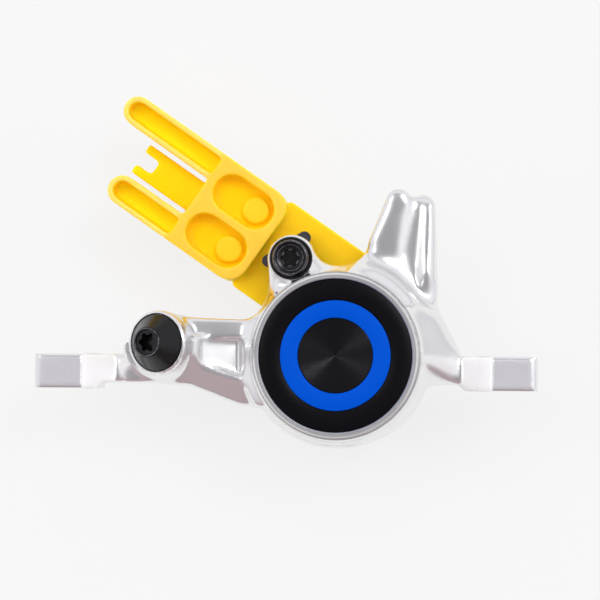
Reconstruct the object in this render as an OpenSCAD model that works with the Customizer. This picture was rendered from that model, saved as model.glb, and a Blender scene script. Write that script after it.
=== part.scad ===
// Hydraulic disc brake caliper for a bicycle: one-piece body, two opposed pistons, post mount.
// Z is the piston axis and points outboard, z = 0 is the middle plane of the rotor,
// X runs along the two mounting ears and +Y points at the wheel's hub.
// A moulded pad spacer sits where the rotor will run.

/* [Rotor] */
// Thickness of the rotor that the pads close on
rotor_t = 2.0; // [1.6:0.1:2.4]
// Outer radius of the rotor
rotor_r = 80; // [70:1:102]
// How far the rotor's edge reaches below the piston axis
rotor_reach = 8.5; // [7.5:0.1:9]
// Room around the rotor's edge
rotor_room = 1.5; // [1:0.1:1.8]
// Half width of the slot that the rotor runs in
slot_half = 2.4; // [2:0.1:2.8]

/* [Pads] */
// Travel of each piston until its lining meets the rotor
stroke = 0.5; // [0.3:0.05:0.7]
// Thickness of a friction lining
lining_t = 2.1; // [1.6:0.1:2.6]
// Thickness of a steel pad plate
plate_t = 1.8; // [1.5:0.1:2.2]
// Radius of a pad plate
plate_r = 12.6; // [12:0.1:12.8]
// How far the lining's rim stays inside the plate's rim
lining_inset = 0.8; // [0.5:0.1:1.5]
// Height of the lining's flat top above the piston axis
lining_top = 8.7; // [7:0.1:9.5]
// Gap between a pad and the walls of its cavity
pad_play = 0.3; // [0.2:0.05:0.4]
// Radius of the pad plate's eye around the pad axle
pad_eye_r = 4.0; // [3.6:0.1:4.4]
// Distance of each pad lug from the middle of the pad's tab
lug_side = 3.8; // [3.5:0.1:4.2]
// How far the pad lugs sit beyond the pad axle
lug_out = 2.3; // [2:0.1:3]
// Lean of the pad's tab towards the left ear, in degrees
lug_turn = 33; // [28:1:38]
// Radius of a pad lug
lug_r = 1.1; // [0.8:0.1:1.3]

/* [Pistons] */
// Piston diameter
piston_d = 22; // [21:0.1:22.4]
// Piston length
piston_len = 9.4; // [8.6:0.1:10.4]
// Radial running clearance of a piston in its bore
piston_fit = 0.03; // [0.02:0.01:0.06]
// Depth of the ring-shaped hollow in the piston's face
piston_hollow = 5.4; // [4:0.1:6]
// Wall of the piston around that hollow
piston_wall = 2.6; // [2:0.1:3]
// Radius of the magnet in the piston's face
magnet_r = 3.5; // [3:0.1:4]
// Thickness of the magnet
magnet_t = 2.0; // [1.5:0.1:2.5]
// Wall of the piston around the magnet
magnet_wall = 1.1; // [0.8:0.1:1.4]
// Gap around the magnet
magnet_fit = 0.03; // [0.02:0.01:0.06]
// Depth of the seal groove beyond the bore
seal_depth = 1.3; // [1:0.1:1.5]
// Width of the seal groove
seal_w = 2.0; // [1.6:0.1:2.4]
// Gap around a piston seal in its groove
seal_fit = 0.03; // [0.02:0.01:0.06]
// Distance from the pad cavity's wall to the seal groove
seal_in = 1.2; // [1:0.1:1.6]
// Length of the bore that guides the piston
land_len = 5.0; // [4.6:0.1:5.6]
// Radial relief of the bore behind the guide
relief = 0.5; // [0.3:0.1:0.7]
// Gap behind a piston that is pushed right back
chamber_gap = 0.4; // [0.3:0.1:0.8]

/* [Piston housing] */
// Radius of the housing at its front rim
rim_r = 14.2; // [14:0.1:14.6]
// Radius of the housing where it flares into the bridge
flare_r = 16.2; // [15.8:0.1:17]
// Bevel on the rim's outer edge
rim_bevel = 0.3; // [0.2:0.05:0.5]
// Height of the rim above the cap
rim_lip = 0.4; // [0.2:0.1:0.8]
// Radius of the inboard housing
inner_r = 15.2; // [14.8:0.1:15.6]
// Radius of the flat end of the inboard housing
inner_flat_r = 11.5; // [10:0.1:12.5]
// Wall behind the inboard piston
back_wall = 2.8; // [2.2:0.1:3.6]
// Half length of the bridge over the rotor
bridge_half = 8.5; // [7.5:0.1:9.5]
// Width of the window in the bridge
window_w = 9; // [7:0.5:10]
// Half length of the window in the bridge
window_half = 6.5; // [6:0.1:7]

/* [Bore cap] */
// Radius of the cap's flange
cap_r = 13.2; // [13:0.05:13.3]
// Thickness of the cap's flange
cap_flange_t = 1.8; // [1.4:0.1:2.2]
// Radius of the cap's threaded plug
cap_plug_r = 12.3; // [12.1:0.05:12.6]
// Length of the cap's threaded plug
cap_plug_len = 3.0; // [2.6:0.1:3.6]
// Gap between the cap and the housing
cap_fit = 0.05; // [0.03:0.01:0.1]
// Outer radius of the colour ring in the cap
ring_out_r = 9.5; // [9:0.1:10.5]
// Inner radius of the colour ring in the cap
ring_in_r = 6.5; // [5.5:0.1:7.5]
// Depth of the colour ring in the cap
ring_depth = 1.0; // [0.6:0.1:1.2]
// Height of the colour ring above the cap
ring_proud = 0.2; // [0.1:0.05:0.3]
// Gap around the colour ring
ring_fit = 0.03; // [0.02:0.01:0.06]
// Thickness of the cap's sealing ring
cap_seal_t = 1.5; // [1.2:0.1:1.8]

/* [Post mount] */
// Distance between the two mounting slots
post_pitch = 74.2; // [72:0.1:76]
// Place of the middle of the two slots along X from the piston axis
post_shift = -8.5; // [-9.5:0.1:-7.5]
// Distance of the slots from the rotor's middle plane
post_offset = 10; // [9.5:0.1:10.5]
// Width of a mounting slot
slot_w = 6.4; // [6.1:0.1:6.8]
// Length of a mounting slot
slot_len = 10; // [9:0.1:10.5]
// Radius kept free around each slot for the frame's post
post_r = 7.4; // [7:0.1:7.8]
// Thickness of a mounting ear
ear_t = 5.9; // [5:0.1:7]
// Distance from the left slot to the outer end of its ear
left_ear_end = 6.6; // [5.6:0.1:7]
// Distance from the right slot to the outer end of its ear
right_ear_end = 6.1; // [5.6:0.1:7]
// Distance from a slot to the inner edge of the ear's front face
ear_in = 1.9; // [1.4:0.1:2.4]
// Height of the ear's back face above the rotor's middle plane
ear_back = 3.0; // [2.8:0.1:3.4]
// Height of the ear's front face above the rotor's middle plane
ear_front = 18.6; // [18:0.1:19.4]
// Radius of the ear's corners
ear_corner = 1.2; // [0.8:0.1:2]
// Length of the scoop between an ear's front face and its neck
scoop_len = 5; // [4.4:0.1:5.4]
// Height of the scoop's lowest line above the rotor's middle plane
scoop_floor = 11.2; // [10.6:0.1:12]

/* [Arms] */
// Height of the arms' back face above the rotor's middle plane
arm_back = 3.2; // [3:0.1:3.6]
// Height of the arms' front face above the rotor's middle plane
arm_front = 13; // [12.4:0.1:13.6]
// Height of the left arm's front face at its upper edge
arm_edge = 12.7; // [12.2:0.1:12.8]
// Upper edge of the left arm above the piston axis
arm_top = 6.2; // [5.8:0.1:6.6]
// Lower edge of both arms below the piston axis, beside the ears
arm_low = 4.8; // [4.4:0.1:5.2]
// Depth of the pocket in the left arm, beside the housing
pocket_depth = 1.8; // [1:0.1:2.2]
// Distance from the port's middle to the pocket
pocket_out = 7; // [6.6:0.1:8]
// Distance from the housing's flare to the pocket
pocket_in = 0.8; // [0.4:0.1:1.6]
// Width of the pocket beside the port
pocket_narrow = 4.3; // [3.6:0.1:4.6]
// Width of the pocket beside the housing
pocket_wide = 6.9; // [6:0.1:7.1]
// Height of the pocket's upper edge above the piston axis
pocket_top = 3; // [2.7:0.1:3.1]
// Rounding where the left arm meets the pad axle's boss
arm_blend = 5; // [4:0.1:6]

/* [Pad axle] */
// Place of the pad axle along X
axle_x = -8.2; // [-8.6:0.1:-7.8]
// Place of the pad axle along Y
axle_y = 17; // [16.6:0.1:17.4]
// Radius of the pad axle's shank
axle_r = 2; // [1.8:0.1:2.2]
// Radial running clearance around the pad axle
axle_fit = 0.05; // [0.03:0.01:0.08]
// Radius of the bosses that carry the pad axle
axle_boss_r = 4.1; // [3.9:0.1:4.4]
// Height of the face that the axle's head sits on
axle_seat = 12; // [11.4:0.1:12.6]
// Depth of the inboard boss from the rotor's middle plane
axle_deep = 11; // [10.4:0.1:11.6]
// Radius of the axle head's flange
axle_flange_r = 3.75; // [3.5:0.05:3.85]
// Thickness of the axle head's flange
axle_flange_t = 0.9; // [0.7:0.1:1.2]
// Radius of the axle's head
axle_head_r = 3.15; // [3:0.05:3.4]
// Height of the axle's head over its flange
axle_head_h = 2.3; // [2:0.1:2.8]
// Radius of the star recess across its points
axle_star_r = 2.1; // [1.8:0.05:2.3]

/* [Hose port] */
// Place of the port's rim along X
port_x = -31.4; // [-31.9:0.1:-30.9]
// Place of the port's rim along Y
port_y = 2.1; // [1.7:0.1:2.5]
// Height of the port's rim above the rotor's middle plane
port_z = 15; // [14.5:0.1:15.5]
// Lean of the port towards its ear, in degrees
port_lean = 24; // [22:1:26]
// Radius of the port's boss
port_boss_r = 5.6; // [5.5:0.1:5.8]
// Length of the port's boss below its rim
port_boss_len = 9; // [8:0.1:10]
// Radius of the port's thread
port_thread_r = 3; // [2.8:0.1:3.2]
// Length of the port's thread
port_thread_len = 8; // [7:0.1:8.6]
// Depth of the counterbore in the port's rim
port_sink = 1.2; // [1:0.1:1.5]
// Radius of the plug's head at its foot
plug_foot_r = 4.9; // [4.7:0.05:5]
// Radius of the plug's head at its tip
plug_tip_r = 2.9; // [2.7:0.05:3.1]
// Height of the plug's cone above the rim
plug_cone_h = 3.4; // [3:0.1:3.8]
// Radius of the plug's star recess across its points
plug_star_r = 1.8; // [1.5:0.05:2]
// Gap around the plug
plug_fit = 0.05; // [0.03:0.01:0.08]
// Thickness of the sealing washer under the plug
washer_t = 0.6; // [0.4:0.1:0.8]

/* [Bleed port] */
// Depth of the bleed port behind the rotor's middle plane
bleed_deep = 13; // [12.6:0.1:13.4]
// Radius of the bleed screw
bleed_r = 2.5; // [2.3:0.1:2.7]
// Length of the bleed screw
bleed_len = 3.2; // [2.8:0.1:3.4]
// Wall of the boss around the bleed screw
bleed_wall = 1.2; // [1:0.1:1.5]
// Height of the bleed boss's face over the inboard housing
bleed_proud = 0.5; // [0.3:0.1:0.8]
// Gap around the bleed screw
bleed_fit = 0.05; // [0.03:0.01:0.08]
// Radius of the bleed screw's star recess across its points
bleed_star_r = 1.4; // [1.2:0.05:1.6]
// Thickness of the bleed screw's sealing ring
bleed_seal_t = 0.8; // [0.6:0.1:1]
// Radius of the drilled oil passages
passage_r = 0.7; // [0.5:0.1:0.8]

/* [Horn] */
// Height of the horn's middle above the rotor's middle plane
horn_z = 8.4; // [8:0.1:9]
// Height of the left lobe's tip above the piston axis
horn_left_top = 29.4; // [28:0.1:30]
// Height of the right lobe's tip above the piston axis
horn_right_top = 28.5; // [27:0.1:29]
// Radius of the left lobe at its tip
horn_left_r = 2.2; // [2:0.1:2.4]
// Radius of the right lobe at its tip
horn_right_r = 2.2; // [2:0.1:2.4]
// Radius of the web between the lobes at its tip
horn_web_r = 1.8; // [1.6:0.1:2]
// How far the web stays below the right lobe's tip
horn_notch = 0.3; // [0.2:0.1:1]
// How much each lobe widens towards its foot
horn_widen = 1.5; // [1.2:0.1:1.8]

/* [Pad spacer] */
// Angle of the spacer below the X axis, in degrees
spacer_turn = 34.8; // [32:0.2:37]
// How much thinner than the rotor the blade is
blade_play = 0.1; // [0.08:0.02:0.2]
// Length of the blade beyond the pad axle
blade_len = 24; // [20:0.5:25]
// Half width of the spacer
spacer_half = 9.2; // [8.8:0.1:9.6]
// How far the spacer's middle line lies beside the pad axle
spacer_side = -0.8; // [-1.2:0.1:-0.4]
// Room around the pad axle in the blade's fork
fork_room = 0.6; // [0.4:0.1:1]
// Half thickness of the grip
grip_half = 5.2; // [4.6:0.1:5.5]
// Distance from the pad axle to the grip
grip_near = 5.8; // [5.6:0.1:6.4]
// Length of the grip
grip_len = 15; // [14:0.1:17]
// Rounding of the grip's corners
grip_corner = 3.6; // [2:0.1:4]
// Wall around the grip's pockets
grip_wall = 1.6; // [1.2:0.1:2]
// Floor between the two sides of the spacer
web_t = 1.9; // [1.6:0.1:2.4]
// Radius of the round bump in each pocket
bump_r = 2.4; // [2:0.1:2.8]
// Height of the bump above the pocket's floor
bump_h = 1.6; // [1:0.1:2.4]
// Length of the upper prong beyond the grip
prong_long = 19.8; // [16:0.1:22]
// Length of the lower prong beyond the grip
prong_short = 14; // [11:0.1:16]
// Width of a prong
prong_w = 5.3; // [5:0.1:5.4]
// Wall of a prong's channel
prong_wall = 1.0; // [0.8:0.1:1.2]
// Length of the tongue between the prongs
tongue_len = 12.6; // [9:0.1:14]
// Gap between the tongue and each prong
tongue_gap = 0.9; // [0.6:0.1:1.2]
// Depth of the notch in the tongue's end
notch_len = 3.3; // [2:0.1:4]
// Width of the notch in the tongue's end
notch_w = 2.6; // [2:0.1:3]

/* [Hidden] */
$fn = 64;
// Overshoot of a cut past the face that it opens
over = 1;
// Length of a cut that leaves the body on every side
far = 60;

// Heights from the rotor's middle plane outwards, the same on both sides
lining_z = rotor_t / 2 + stroke;
plate_z = lining_z + lining_t;
piston_z = plate_z + plate_t;
cavity_z = piston_z + pad_play;
piston_back = piston_z + piston_len;
chamber_z = piston_back + chamber_gap;
cap_seat = chamber_z + cap_plug_len;
cap_front = cap_seat + cap_flange_t;
rim_z = cap_front + rim_lip;
back_z = chamber_z + back_wall;
seal_z = cavity_z + seal_in;

// Radii that several pieces share
bore_r = piston_d / 2;
piston_r = bore_r - piston_fit;
relief_r = bore_r + relief;
bleed_reach = inner_r + bleed_proud;
cavity_r = plate_r + pad_play;

// Pads: the middle line points from the piston axis at the pad axle
axle_at = [axle_x, axle_y];
pad_turn = atan2(-axle_x, axle_y);
axle_far = norm(axle_at);
plate_low = rotor_reach + pad_play;
lining_r = plate_r - lining_inset;
cavity_low = plate_low + pad_play;

// Mounting slots
slot_x = [post_shift - post_pitch / 2, post_shift + post_pitch / 2];
slot_run = slot_len / 2 - slot_w / 2;
ear_ends = [left_ear_end, right_ear_end];

// Spacer
blade_t = rotor_t - blade_play;
grip_far = grip_near + grip_len;
fork_half = axle_r + fork_room;

// Shared shapes

module tube(r_out, r_in, h) {
  difference() {
    cylinder(r = r_out, h = h);
    translate([0, 0, -over])
      cylinder(r = r_in, h = h + 2 * over);
  }
}

// Radius of a star recess's points as a share of its whole radius
star_lobe = 0.24;

// Six-pointed star recess for a driver, cut from z = 0 downwards
module star_recess(r, depth) {
  lobe_r = r * star_lobe;
  translate([0, 0, -depth]) {
    cylinder(r = r - lobe_r, h = depth + over);
    for (i = [0 : 5])
      rotate(60 * i)
        translate([r - lobe_r, 0, 0])
          cylinder(r = lobe_r, h = depth + over);
  }
}

module o_ring(r_middle, t) {
  rotate_extrude()
    translate([r_middle, 0])
      circle(d = t);
}

// Moves a shape drawn around Z at the port's rim to its leaning place
module at_port() {
  translate([port_x, port_y, port_z])
    rotate([0, -port_lean, 0])
      children();
}

// Moves a shape drawn around Z, up out of the bleed boss, to its place under the inboard housing
module at_bleed() {
  translate([0, -bleed_reach, -bleed_deep])
    rotate([90, 0, 0])
      children();
}

// Draws a shape in the spacer's own frame: X runs in past the pad axle, Y across
module at_spacer() {
  translate([axle_x, axle_y, 0])
    rotate(-spacer_turn)
      translate([0, spacer_side, 0])
        children();
}

// Extrudes an outline drawn in X and Z along -Y, starting at y
module along_y(y, h) {
  translate([0, y, 0])
    rotate([90, 0, 0])
      linear_extrude(h)
        children();
}

// Rectangle with round corners between two opposite corners
module round_box(low, high, r) {
  size = high - low;
  translate(low + [r, 0])
    square([size[0] - 2 * r, size[1]]);
  translate(low + [0, r])
    square([size[0], size[1] - 2 * r]);
  for (x = [low[0] + r, high[0] - r])
    for (y = [low[1] + r, high[1] - r])
      translate([x, y])
        circle(r);
}

// Centre of the round that touches two circles from outside
function blend_centre(c1, r1, c2, r2, rf, side) =
  let (
    d = norm(c2 - c1),
    a = r1 + rf,
    b = r2 + rf,
    along = (d * d + a * a - b * b) / (2 * d),
    dir = (c2 - c1) / d
  )
  c1 + dir * along + [-dir[1], dir[0]] * sqrt(a * a - along * along) * side;

// Fills the corner between two circles with a concave round
module blend(c1, r1, c2, r2, rf, side) {
  p = blend_centre(c1, r1, c2, r2, rf, side);
  difference() {
    polygon([c1, c1 + (p - c1) * r1 / (r1 + rf), p, c2 + (p - c2) * r2 / (r2 + rf), c2]);
    translate(p)
      circle(rf + blend_bite);
  }
}
// How much a concave round bites into what it joins, so that no two walls merely touch
blend_bite = 0.15;
// How much a wall is set back from one that it would otherwise just touch
set_back = 0.04;

// Everything above a plane that rises towards +Y from its line through a point; strike turns the line
module above_facet(at, strike, tilt) {
  translate(at)
    rotate([0, 0, strike])
      rotate([tilt, 0, 0])
        translate([0, -far, 0])
          cube([2 * far, 2 * far, far]);
}

// Caliper body

// Outer flank of the housing, from the flare up to the rim
flank_steps = 8;
flank_curve = 1.6;
flank = [
  for (i = [0 : flank_steps])
    let (s = i / flank_steps)
    [rim_r + (flare_r - rim_r) * pow(1 - s, flank_curve), slot_half + (rim_z - rim_bevel - slot_half) * s]
];

module outer_housing() {
  rotate_extrude()
    polygon(concat([[0, slot_half]], flank, [[rim_r - rim_bevel, rim_z], [0, rim_z]]));
}

inner_edge = inner_r - inner_flat_r;
inner_steps = 6;

module inner_housing() {
  round_off = [
    for (i = [0 : inner_steps])
      let (t = 90 * i / inner_steps)
      [inner_flat_r + inner_edge * cos(t), -back_z + inner_edge * (1 - sin(t))]
  ];
  rotate_extrude()
    polygon(concat([[0, -slot_half], [inner_r, -slot_half]], round_off, [[0, -back_z]]));
}

module bridge() {
  translate([0, 0, -bridge_half])
    cylinder(r = flare_r - set_back, h = 2 * bridge_half);
}

// Boss of the pad axle with the web that joins it to a housing
module axle_web(r_housing) {
  translate(axle_at)
    circle(axle_boss_r);
  side = axle_boss_r - set_back;
  polygon([
    axle_at + [-side, 0], [axle_x - side, 0], [0, 0],
    axle_at + [side * cos(pad_turn), side * sin(pad_turn)]
  ]);
  blend(axle_at, axle_boss_r, [0, 0], r_housing, web_blend, 1);
}
web_blend = 3;
// How far the webs lie below the bosses' faces
web_step = 1.4;

module axle_bosses() {
  translate([0, 0, cavity_z - over]) {
    linear_extrude(axle_seat - web_step - cavity_z + over)
      axle_web(flare_r);
    translate([axle_x, axle_y, 0])
      cylinder(r = axle_boss_r, h = axle_seat - cavity_z + over);
  }
  translate([0, 0, -axle_deep]) {
    translate([0, 0, web_step])
      linear_extrude(axle_deep - web_step - cavity_z + over)
        axle_web(inner_r);
    translate([axle_x, axle_y, 0])
      cylinder(r = axle_boss_r, h = axle_deep - cavity_z + over);
  }
}

// Rise of the left arm's upper edge towards the port
arm_rise = 0.6;
// Depth of the left arm's lower edge below the ears' necks, beside the port
arm_drop = 0.5;
// Fall of that edge from the port to the pad axle's boss
arm_slope = 3.3;
// Fall of that edge from the boss on to the piston axis
arm_tail = 2;

// Outline of the left arm between the hose port and the housing, seen along the piston axis
module arm_outline() {
  blend_x = axle_x - axle_boss_r - arm_blend;
  low = -arm_low - arm_drop;
  polygon([
    [port_x, arm_top + arm_rise], [blend_x, arm_top], [0, arm_top],
    [0, low - arm_slope - arm_tail], [blend_x, low - arm_slope],
    [port_x + port_boss_r, low], [port_x, low + arm_drop]
  ]);
  difference() {
    translate([blend_x, arm_top - over])
      square([arm_blend + over, arm_blend + over]);
    translate([blend_x, arm_top + arm_blend])
      circle(arm_blend + blend_bite);
  }
}

// Distance of the raised middle from the arm's upper edge
ridge_in = 2.8;
// How far the front face falls beyond the arm's upper edge, at the end of the rounding and further up
edge_falls = [4, 5.5];
// Facet along the arm's lower edge: where it starts below the piston axis, beside the port,
// its line's turn and its tilt, in degrees
facet_low = 0.5;
facet_strike = -15;
facet_tilt = 33;

// The arm's front face is raised along its middle and falls off towards its upper edge
module arm_section() {
  polygon([
    [-flare_r, arm_back], [flare_r, arm_back], [flare_r, arm_edge - edge_falls[1]],
    [arm_top + arm_blend, arm_edge - edge_falls[0]], [arm_top, arm_edge],
    [arm_top - ridge_in, arm_front], [-flare_r, arm_front]
  ]);
}

// Corners of the pocket in the left arm's front face
pocket_left = port_x + pocket_out;
pocket_right = -flare_r - pocket_in;
pocket = [
  [pocket_left, pocket_top], [pocket_right, pocket_top],
  [pocket_right, pocket_top - pocket_wide], [pocket_left, pocket_top - pocket_narrow]
];

// Slope of the pocket's floor up towards the port, in degrees
pocket_tilt = 17;

module arm_pocket() {
  translate([pocket_right, 0, arm_front - pocket_depth])
    rotate([0, pocket_tilt, 0])
      translate([-pocket_right, 0, 0])
        linear_extrude(far)
          polygon(pocket);
}

// Fillet between the arm's front face and the housing: its reach and its fall
fillet_r = flare_r + 0.6;
fillet_fall = 0.6;

module arm_fillet() {
  fillet_top = arm_front + (fillet_r - rim_r) * fillet_fall;
  intersection() {
    rotate_extrude()
      polygon([
        [0, arm_back], [fillet_r, arm_back], [fillet_r, arm_front], [rim_r, fillet_top], [0, fillet_top]
      ]);
    linear_extrude(far)
      arm_outline();
  }
}

// Fillet between the port's boss and the arm's front face: its reach over the boss and its fall
toe_reach = 3.8;
toe_fall = 0.5;

module arm_toe() {
  toe_r = port_boss_r + toe_reach;
  toe_top = arm_front + toe_reach * toe_fall;
  intersection() {
    translate([port_x, port_y, 0])
      rotate_extrude()
        polygon([
          [0, arm_back], [toe_r, arm_back], [toe_r, arm_front], [port_boss_r, toe_top], [0, toe_top]
        ]);
    linear_extrude(far)
      intersection() {
        arm_outline();
        translate([port_x, -far])
          square([far, far + arm_top - ridge_in - set_back]);
      }
  }
}

// Skirt of the port's boss over the arm's lower edge: its reach over the boss, its heights and its place
skirt_reach = 1.2;
skirt_low = 11;
skirt_top = 14;
skirt_shift = 0.6;

module port_skirt() {
  skirt_r = port_boss_r + skirt_reach;
  intersection() {
    translate([port_x + skirt_shift, port_y, 0])
      rotate_extrude()
        polygon([
          [0, arm_back], [skirt_r, arm_back], [skirt_r, skirt_low], [port_boss_r - set_back, skirt_top],
          [0, skirt_top]
        ]);
    translate([-far, -far, 0])
      cube([far, far + port_y, far]);
  }
}

module left_arm() {
  difference() {
    union() {
      difference() {
        union() {
          intersection() {
            translate([0, 0, arm_back])
              linear_extrude(arm_front - arm_back)
                arm_outline();
            translate([port_x - over, 0, 0])
              rotate([90, 0, 90])
                linear_extrude(-port_x + over)
                  arm_section();
          }
          arm_toe();
        }
        above_facet([port_x, -facet_low, arm_front], facet_strike, facet_tilt);
      }
      arm_fillet();
      port_skirt();
    }
    arm_pocket();
  }
}

// How much the port's boss narrows towards its foot
port_taper = 0.7;
// How far the front faces of the foot and the shoulder lie below the arms' front face
foot_step = 1;
// Outline of the web that the port's boss stands on, beside the left ear
foot_x = slot_x[0] + post_r + over;
foot_knee = 4;
foot_outline = [
  [foot_x, -arm_low], [foot_x, 0.3 * foot_knee], [foot_x + foot_knee, foot_knee],
  [port_x, arm_top - set_back], [port_x, -arm_low]
];

module port_boss() {
  at_port()
    translate([0, 0, -port_boss_len])
      cylinder(r1 = port_boss_r - port_taper, r2 = port_boss_r, h = port_boss_len);
  translate([0, 0, arm_back])
    linear_extrude(arm_front - foot_step - arm_back)
      polygon(foot_outline);
}

// Outline of the shoulder between the housing, the right ear and the horn,
// worked out from the housing's flare
shoulder_neck = slot_x[1] - post_r;
shoulder_outline = [
  [0, 0], flare_r * [0.86, 0.58], flare_r * [1.105, 0.463], [shoulder_neck, 0.06 * flare_r],
  [shoulder_neck, -arm_low], [0.8 * flare_r, -arm_low], flare_r * [0, -0.8]
];
// Fall of the shoulder away from the housing, its start before the neck,
// and the tilt of the facet under it, in degrees
shoulder_fall = 0.85;
shoulder_start = 0.3;
shoulder_tilt = 58;

module shoulder() {
  foot_r = shoulder_neck - shoulder_start + scoop_floor / shoulder_fall;
  difference() {
    intersection() {
      translate([0, 0, arm_back])
        linear_extrude(rim_z - rim_bevel - arm_back)
          polygon(shoulder_outline);
      cylinder(r1 = foot_r, r2 = foot_r - rim_z / shoulder_fall, h = rim_z);
    }
    above_facet([0, -arm_low, scoop_floor - shoulder_start], 0, shoulder_tilt);
  }
}

// Collar of the housing at the horn's feet: its reach, its height at the rim, its fall and its sector
flange_r = 1.05 * flare_r;
flange_top = arm_front + foot_step;
flange_fall = 0.22;
flange_sector = flare_r * [[0, 0], [0.2, 1.3], [1.3, 1.3], [1.3, 0.5]];

module flange() {
  depth = flange_top - arm_back;
  intersection() {
    translate([0, 0, arm_back])
      cylinder(r1 = rim_r + depth / flange_fall, r2 = rim_r, h = depth);
    linear_extrude(far)
      intersection() {
        circle(flange_r);
        polygon(flange_sector);
      }
  }
}

// Where the necks of the two ears end inside the body
neck_end = [port_x + 2, flare_r - 2];
// How far each ear keeps its full thickness past its front face, where the thinner neck begins
neck_step = [2, 4.8];
// Length and height of each neck's rise from the scoop to the body
neck_run = [2.3, 0.8];
neck_rise = [1.3, 0.4];
// Tilt of the facets under the necks, in degrees
neck_tilt = 25;

// Depth of the ear's edge above the scoop, and where the scoop bends,
// as shares of its length and of its depth
scoop_edge = 0.4;
scoop_bend = [0.46, 0.57];

// Ear with its neck, seen along Y; out is -1 for the left ear and 1 for the right one
module ear_plan(i, out) {
  x_end = slot_x[i] + out * ear_ends[i];
  x_wall = slot_x[i] - out * ear_in;
  x_scoop = x_wall - out * scoop_len;
  x_far = x_scoop - out * far;
  z_edge = ear_front - scoop_edge;
  z_neck = scoop_floor + neck_rise[i];
  difference() {
    round_box([min(x_end, neck_end[i]), ear_back], [max(x_end, neck_end[i]), ear_front], ear_corner);
    polygon([
      [x_far, far], [x_wall, far], [x_wall, z_edge],
      [x_wall - out * scoop_len * scoop_bend[0], z_edge - (z_edge - scoop_floor) * scoop_bend[1]],
      [x_scoop, scoop_floor], [x_scoop - out * neck_run[i], z_neck], [x_far, z_neck]
    ]);
  }
}

module ears() {
  for (i = [0, 1]) {
    out = i == 0 ? -1 : 1;
    difference() {
      intersection() {
        along_y(0, ear_t)
          ear_plan(i, out);
        ear_and_neck(out, slot_x[i] - out * (ear_in + neck_step[i]));
      }
      if (i == 0)
        above_facet([slot_x[0] + ear_in + scoop_len, -arm_low, scoop_floor], 0, neck_tilt);
      else
        mirror([1, 0, 0])
          above_facet([ear_in + scoop_len - slot_x[1], -arm_low, scoop_floor], 0, neck_tilt);
    }
  }
}

// Everything beyond x on the ear's side, and a layer as thick as the neck elsewhere
module ear_and_neck(out, x) {
  translate([out > 0 ? x : x - far, -far, -far])
    cube([far, 2 * far, 2 * far]);
  translate([-far, -arm_low, -far])
    cube([2 * far, far, 2 * far]);
}

// One lobe of the horn: a tapered finger with a round end, turned about its own line
tip_steps = 6;
// Height of its flat front over its line, as a share of the radius at its end
horn_flat = 0.55;

module horn_lobe(foot, tip, r) {
  run = tip - foot;
  len = norm(run) - r;
  round_end = [
    for (i = [0 : tip_steps])
      let (t = 90 * i / tip_steps)
      [r * cos(t), len + r * sin(t)]
  ];
  translate(foot)
    rotate([0, 0, atan2(run[1], run[0])])
      rotate([0, acos(run[2] / norm(run)), 0])
        difference() {
          rotate_extrude()
            polygon(concat([[0, 0], [r + horn_widen, 0]], round_end));
          translate([-far - horn_flat * r, -far, -far])
            cube([far, 2 * far, 2 * far]);
        }
}

// Where the left lobe, the right lobe and the lower web between them start and end along X and Y
horn_feet = flare_r * [[0.364, 0.74], [0.852, 0.4], [0.64, 0.68]];
horn_tips = [
  [0.68 * flare_r, horn_left_top], [0.914 * flare_r, horn_right_top],
  [0.79 * flare_r, horn_right_top - horn_notch]
];
horn_radii = [horn_left_r, horn_right_r, horn_web_r];
// Heights of their feet and tips over the horn's middle
horn_foot_rise = [0, -horn_widen / 3, -horn_widen / 5];
horn_tip_rise = [horn_left_r / 4, -horn_widen / 2, -horn_widen / 10];
// Place on the left lobe that is rounded into the housing
horn_root = flare_r * [0.469, 1.09];

module horn() {
  for (i = [0 : 2])
    horn_lobe(
      concat(horn_feet[i], [horn_z + horn_foot_rise[i]]),
      concat(horn_tips[i], [horn_z + horn_tip_rise[i]]),
      horn_radii[i]
    );
  translate([0, 0, arm_back])
    linear_extrude(horn_z + horn_flat * horn_left_r - set_back - arm_back)
      blend([0, 0], flare_r, horn_root, horn_left_r + horn_widen / 2, web_blend, 1);
}

module bleed_boss() {
  at_bleed()
    translate([0, 0, -bleed_len - bleed_wall])
      cylinder(r = bleed_r + bleed_wall, h = bleed_len + bleed_wall);
}

// Room for the pads, open towards the hub
module pad_cavity() {
  translate([0, 0, -cavity_z])
    linear_extrude(2 * cavity_z)
      intersection() {
        union() {
          circle(cavity_r);
          translate([-cavity_r, 0])
            square([2 * cavity_r, far]);
        }
        translate([-far, -cavity_low])
          square([2 * far, 2 * far]);
      }
}

module rotor_slot() {
  translate([0, rotor_r - rotor_reach, -slot_half])
    cylinder(r = rotor_r + rotor_room, h = 2 * slot_half, $fn = 200);
}

module bridge_window() {
  translate([-window_w / 2, -far, -window_half])
    cube([window_w, far - cavity_low + over, 2 * window_half]);
}

// Guide, relief and seal groove of one piston, drawn for the outboard side
module piston_bore() {
  cylinder(r = bore_r, h = chamber_z);
  translate([0, 0, cavity_z + land_len])
    cylinder(r = relief_r, h = chamber_z - cavity_z - land_len);
  translate([0, 0, seal_z])
    cylinder(r = bore_r + seal_depth, h = seal_w);
}

module cap_bore() {
  translate([0, 0, chamber_z])
    cylinder(r = cap_plug_r + cap_fit, h = far);
  translate([0, 0, cap_seat])
    cylinder(r = cap_r + cap_fit, h = far);
}

module axle_hole() {
  translate([axle_x, axle_y, -axle_deep - over])
    cylinder(r = axle_r + axle_fit, h = far);
}

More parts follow.
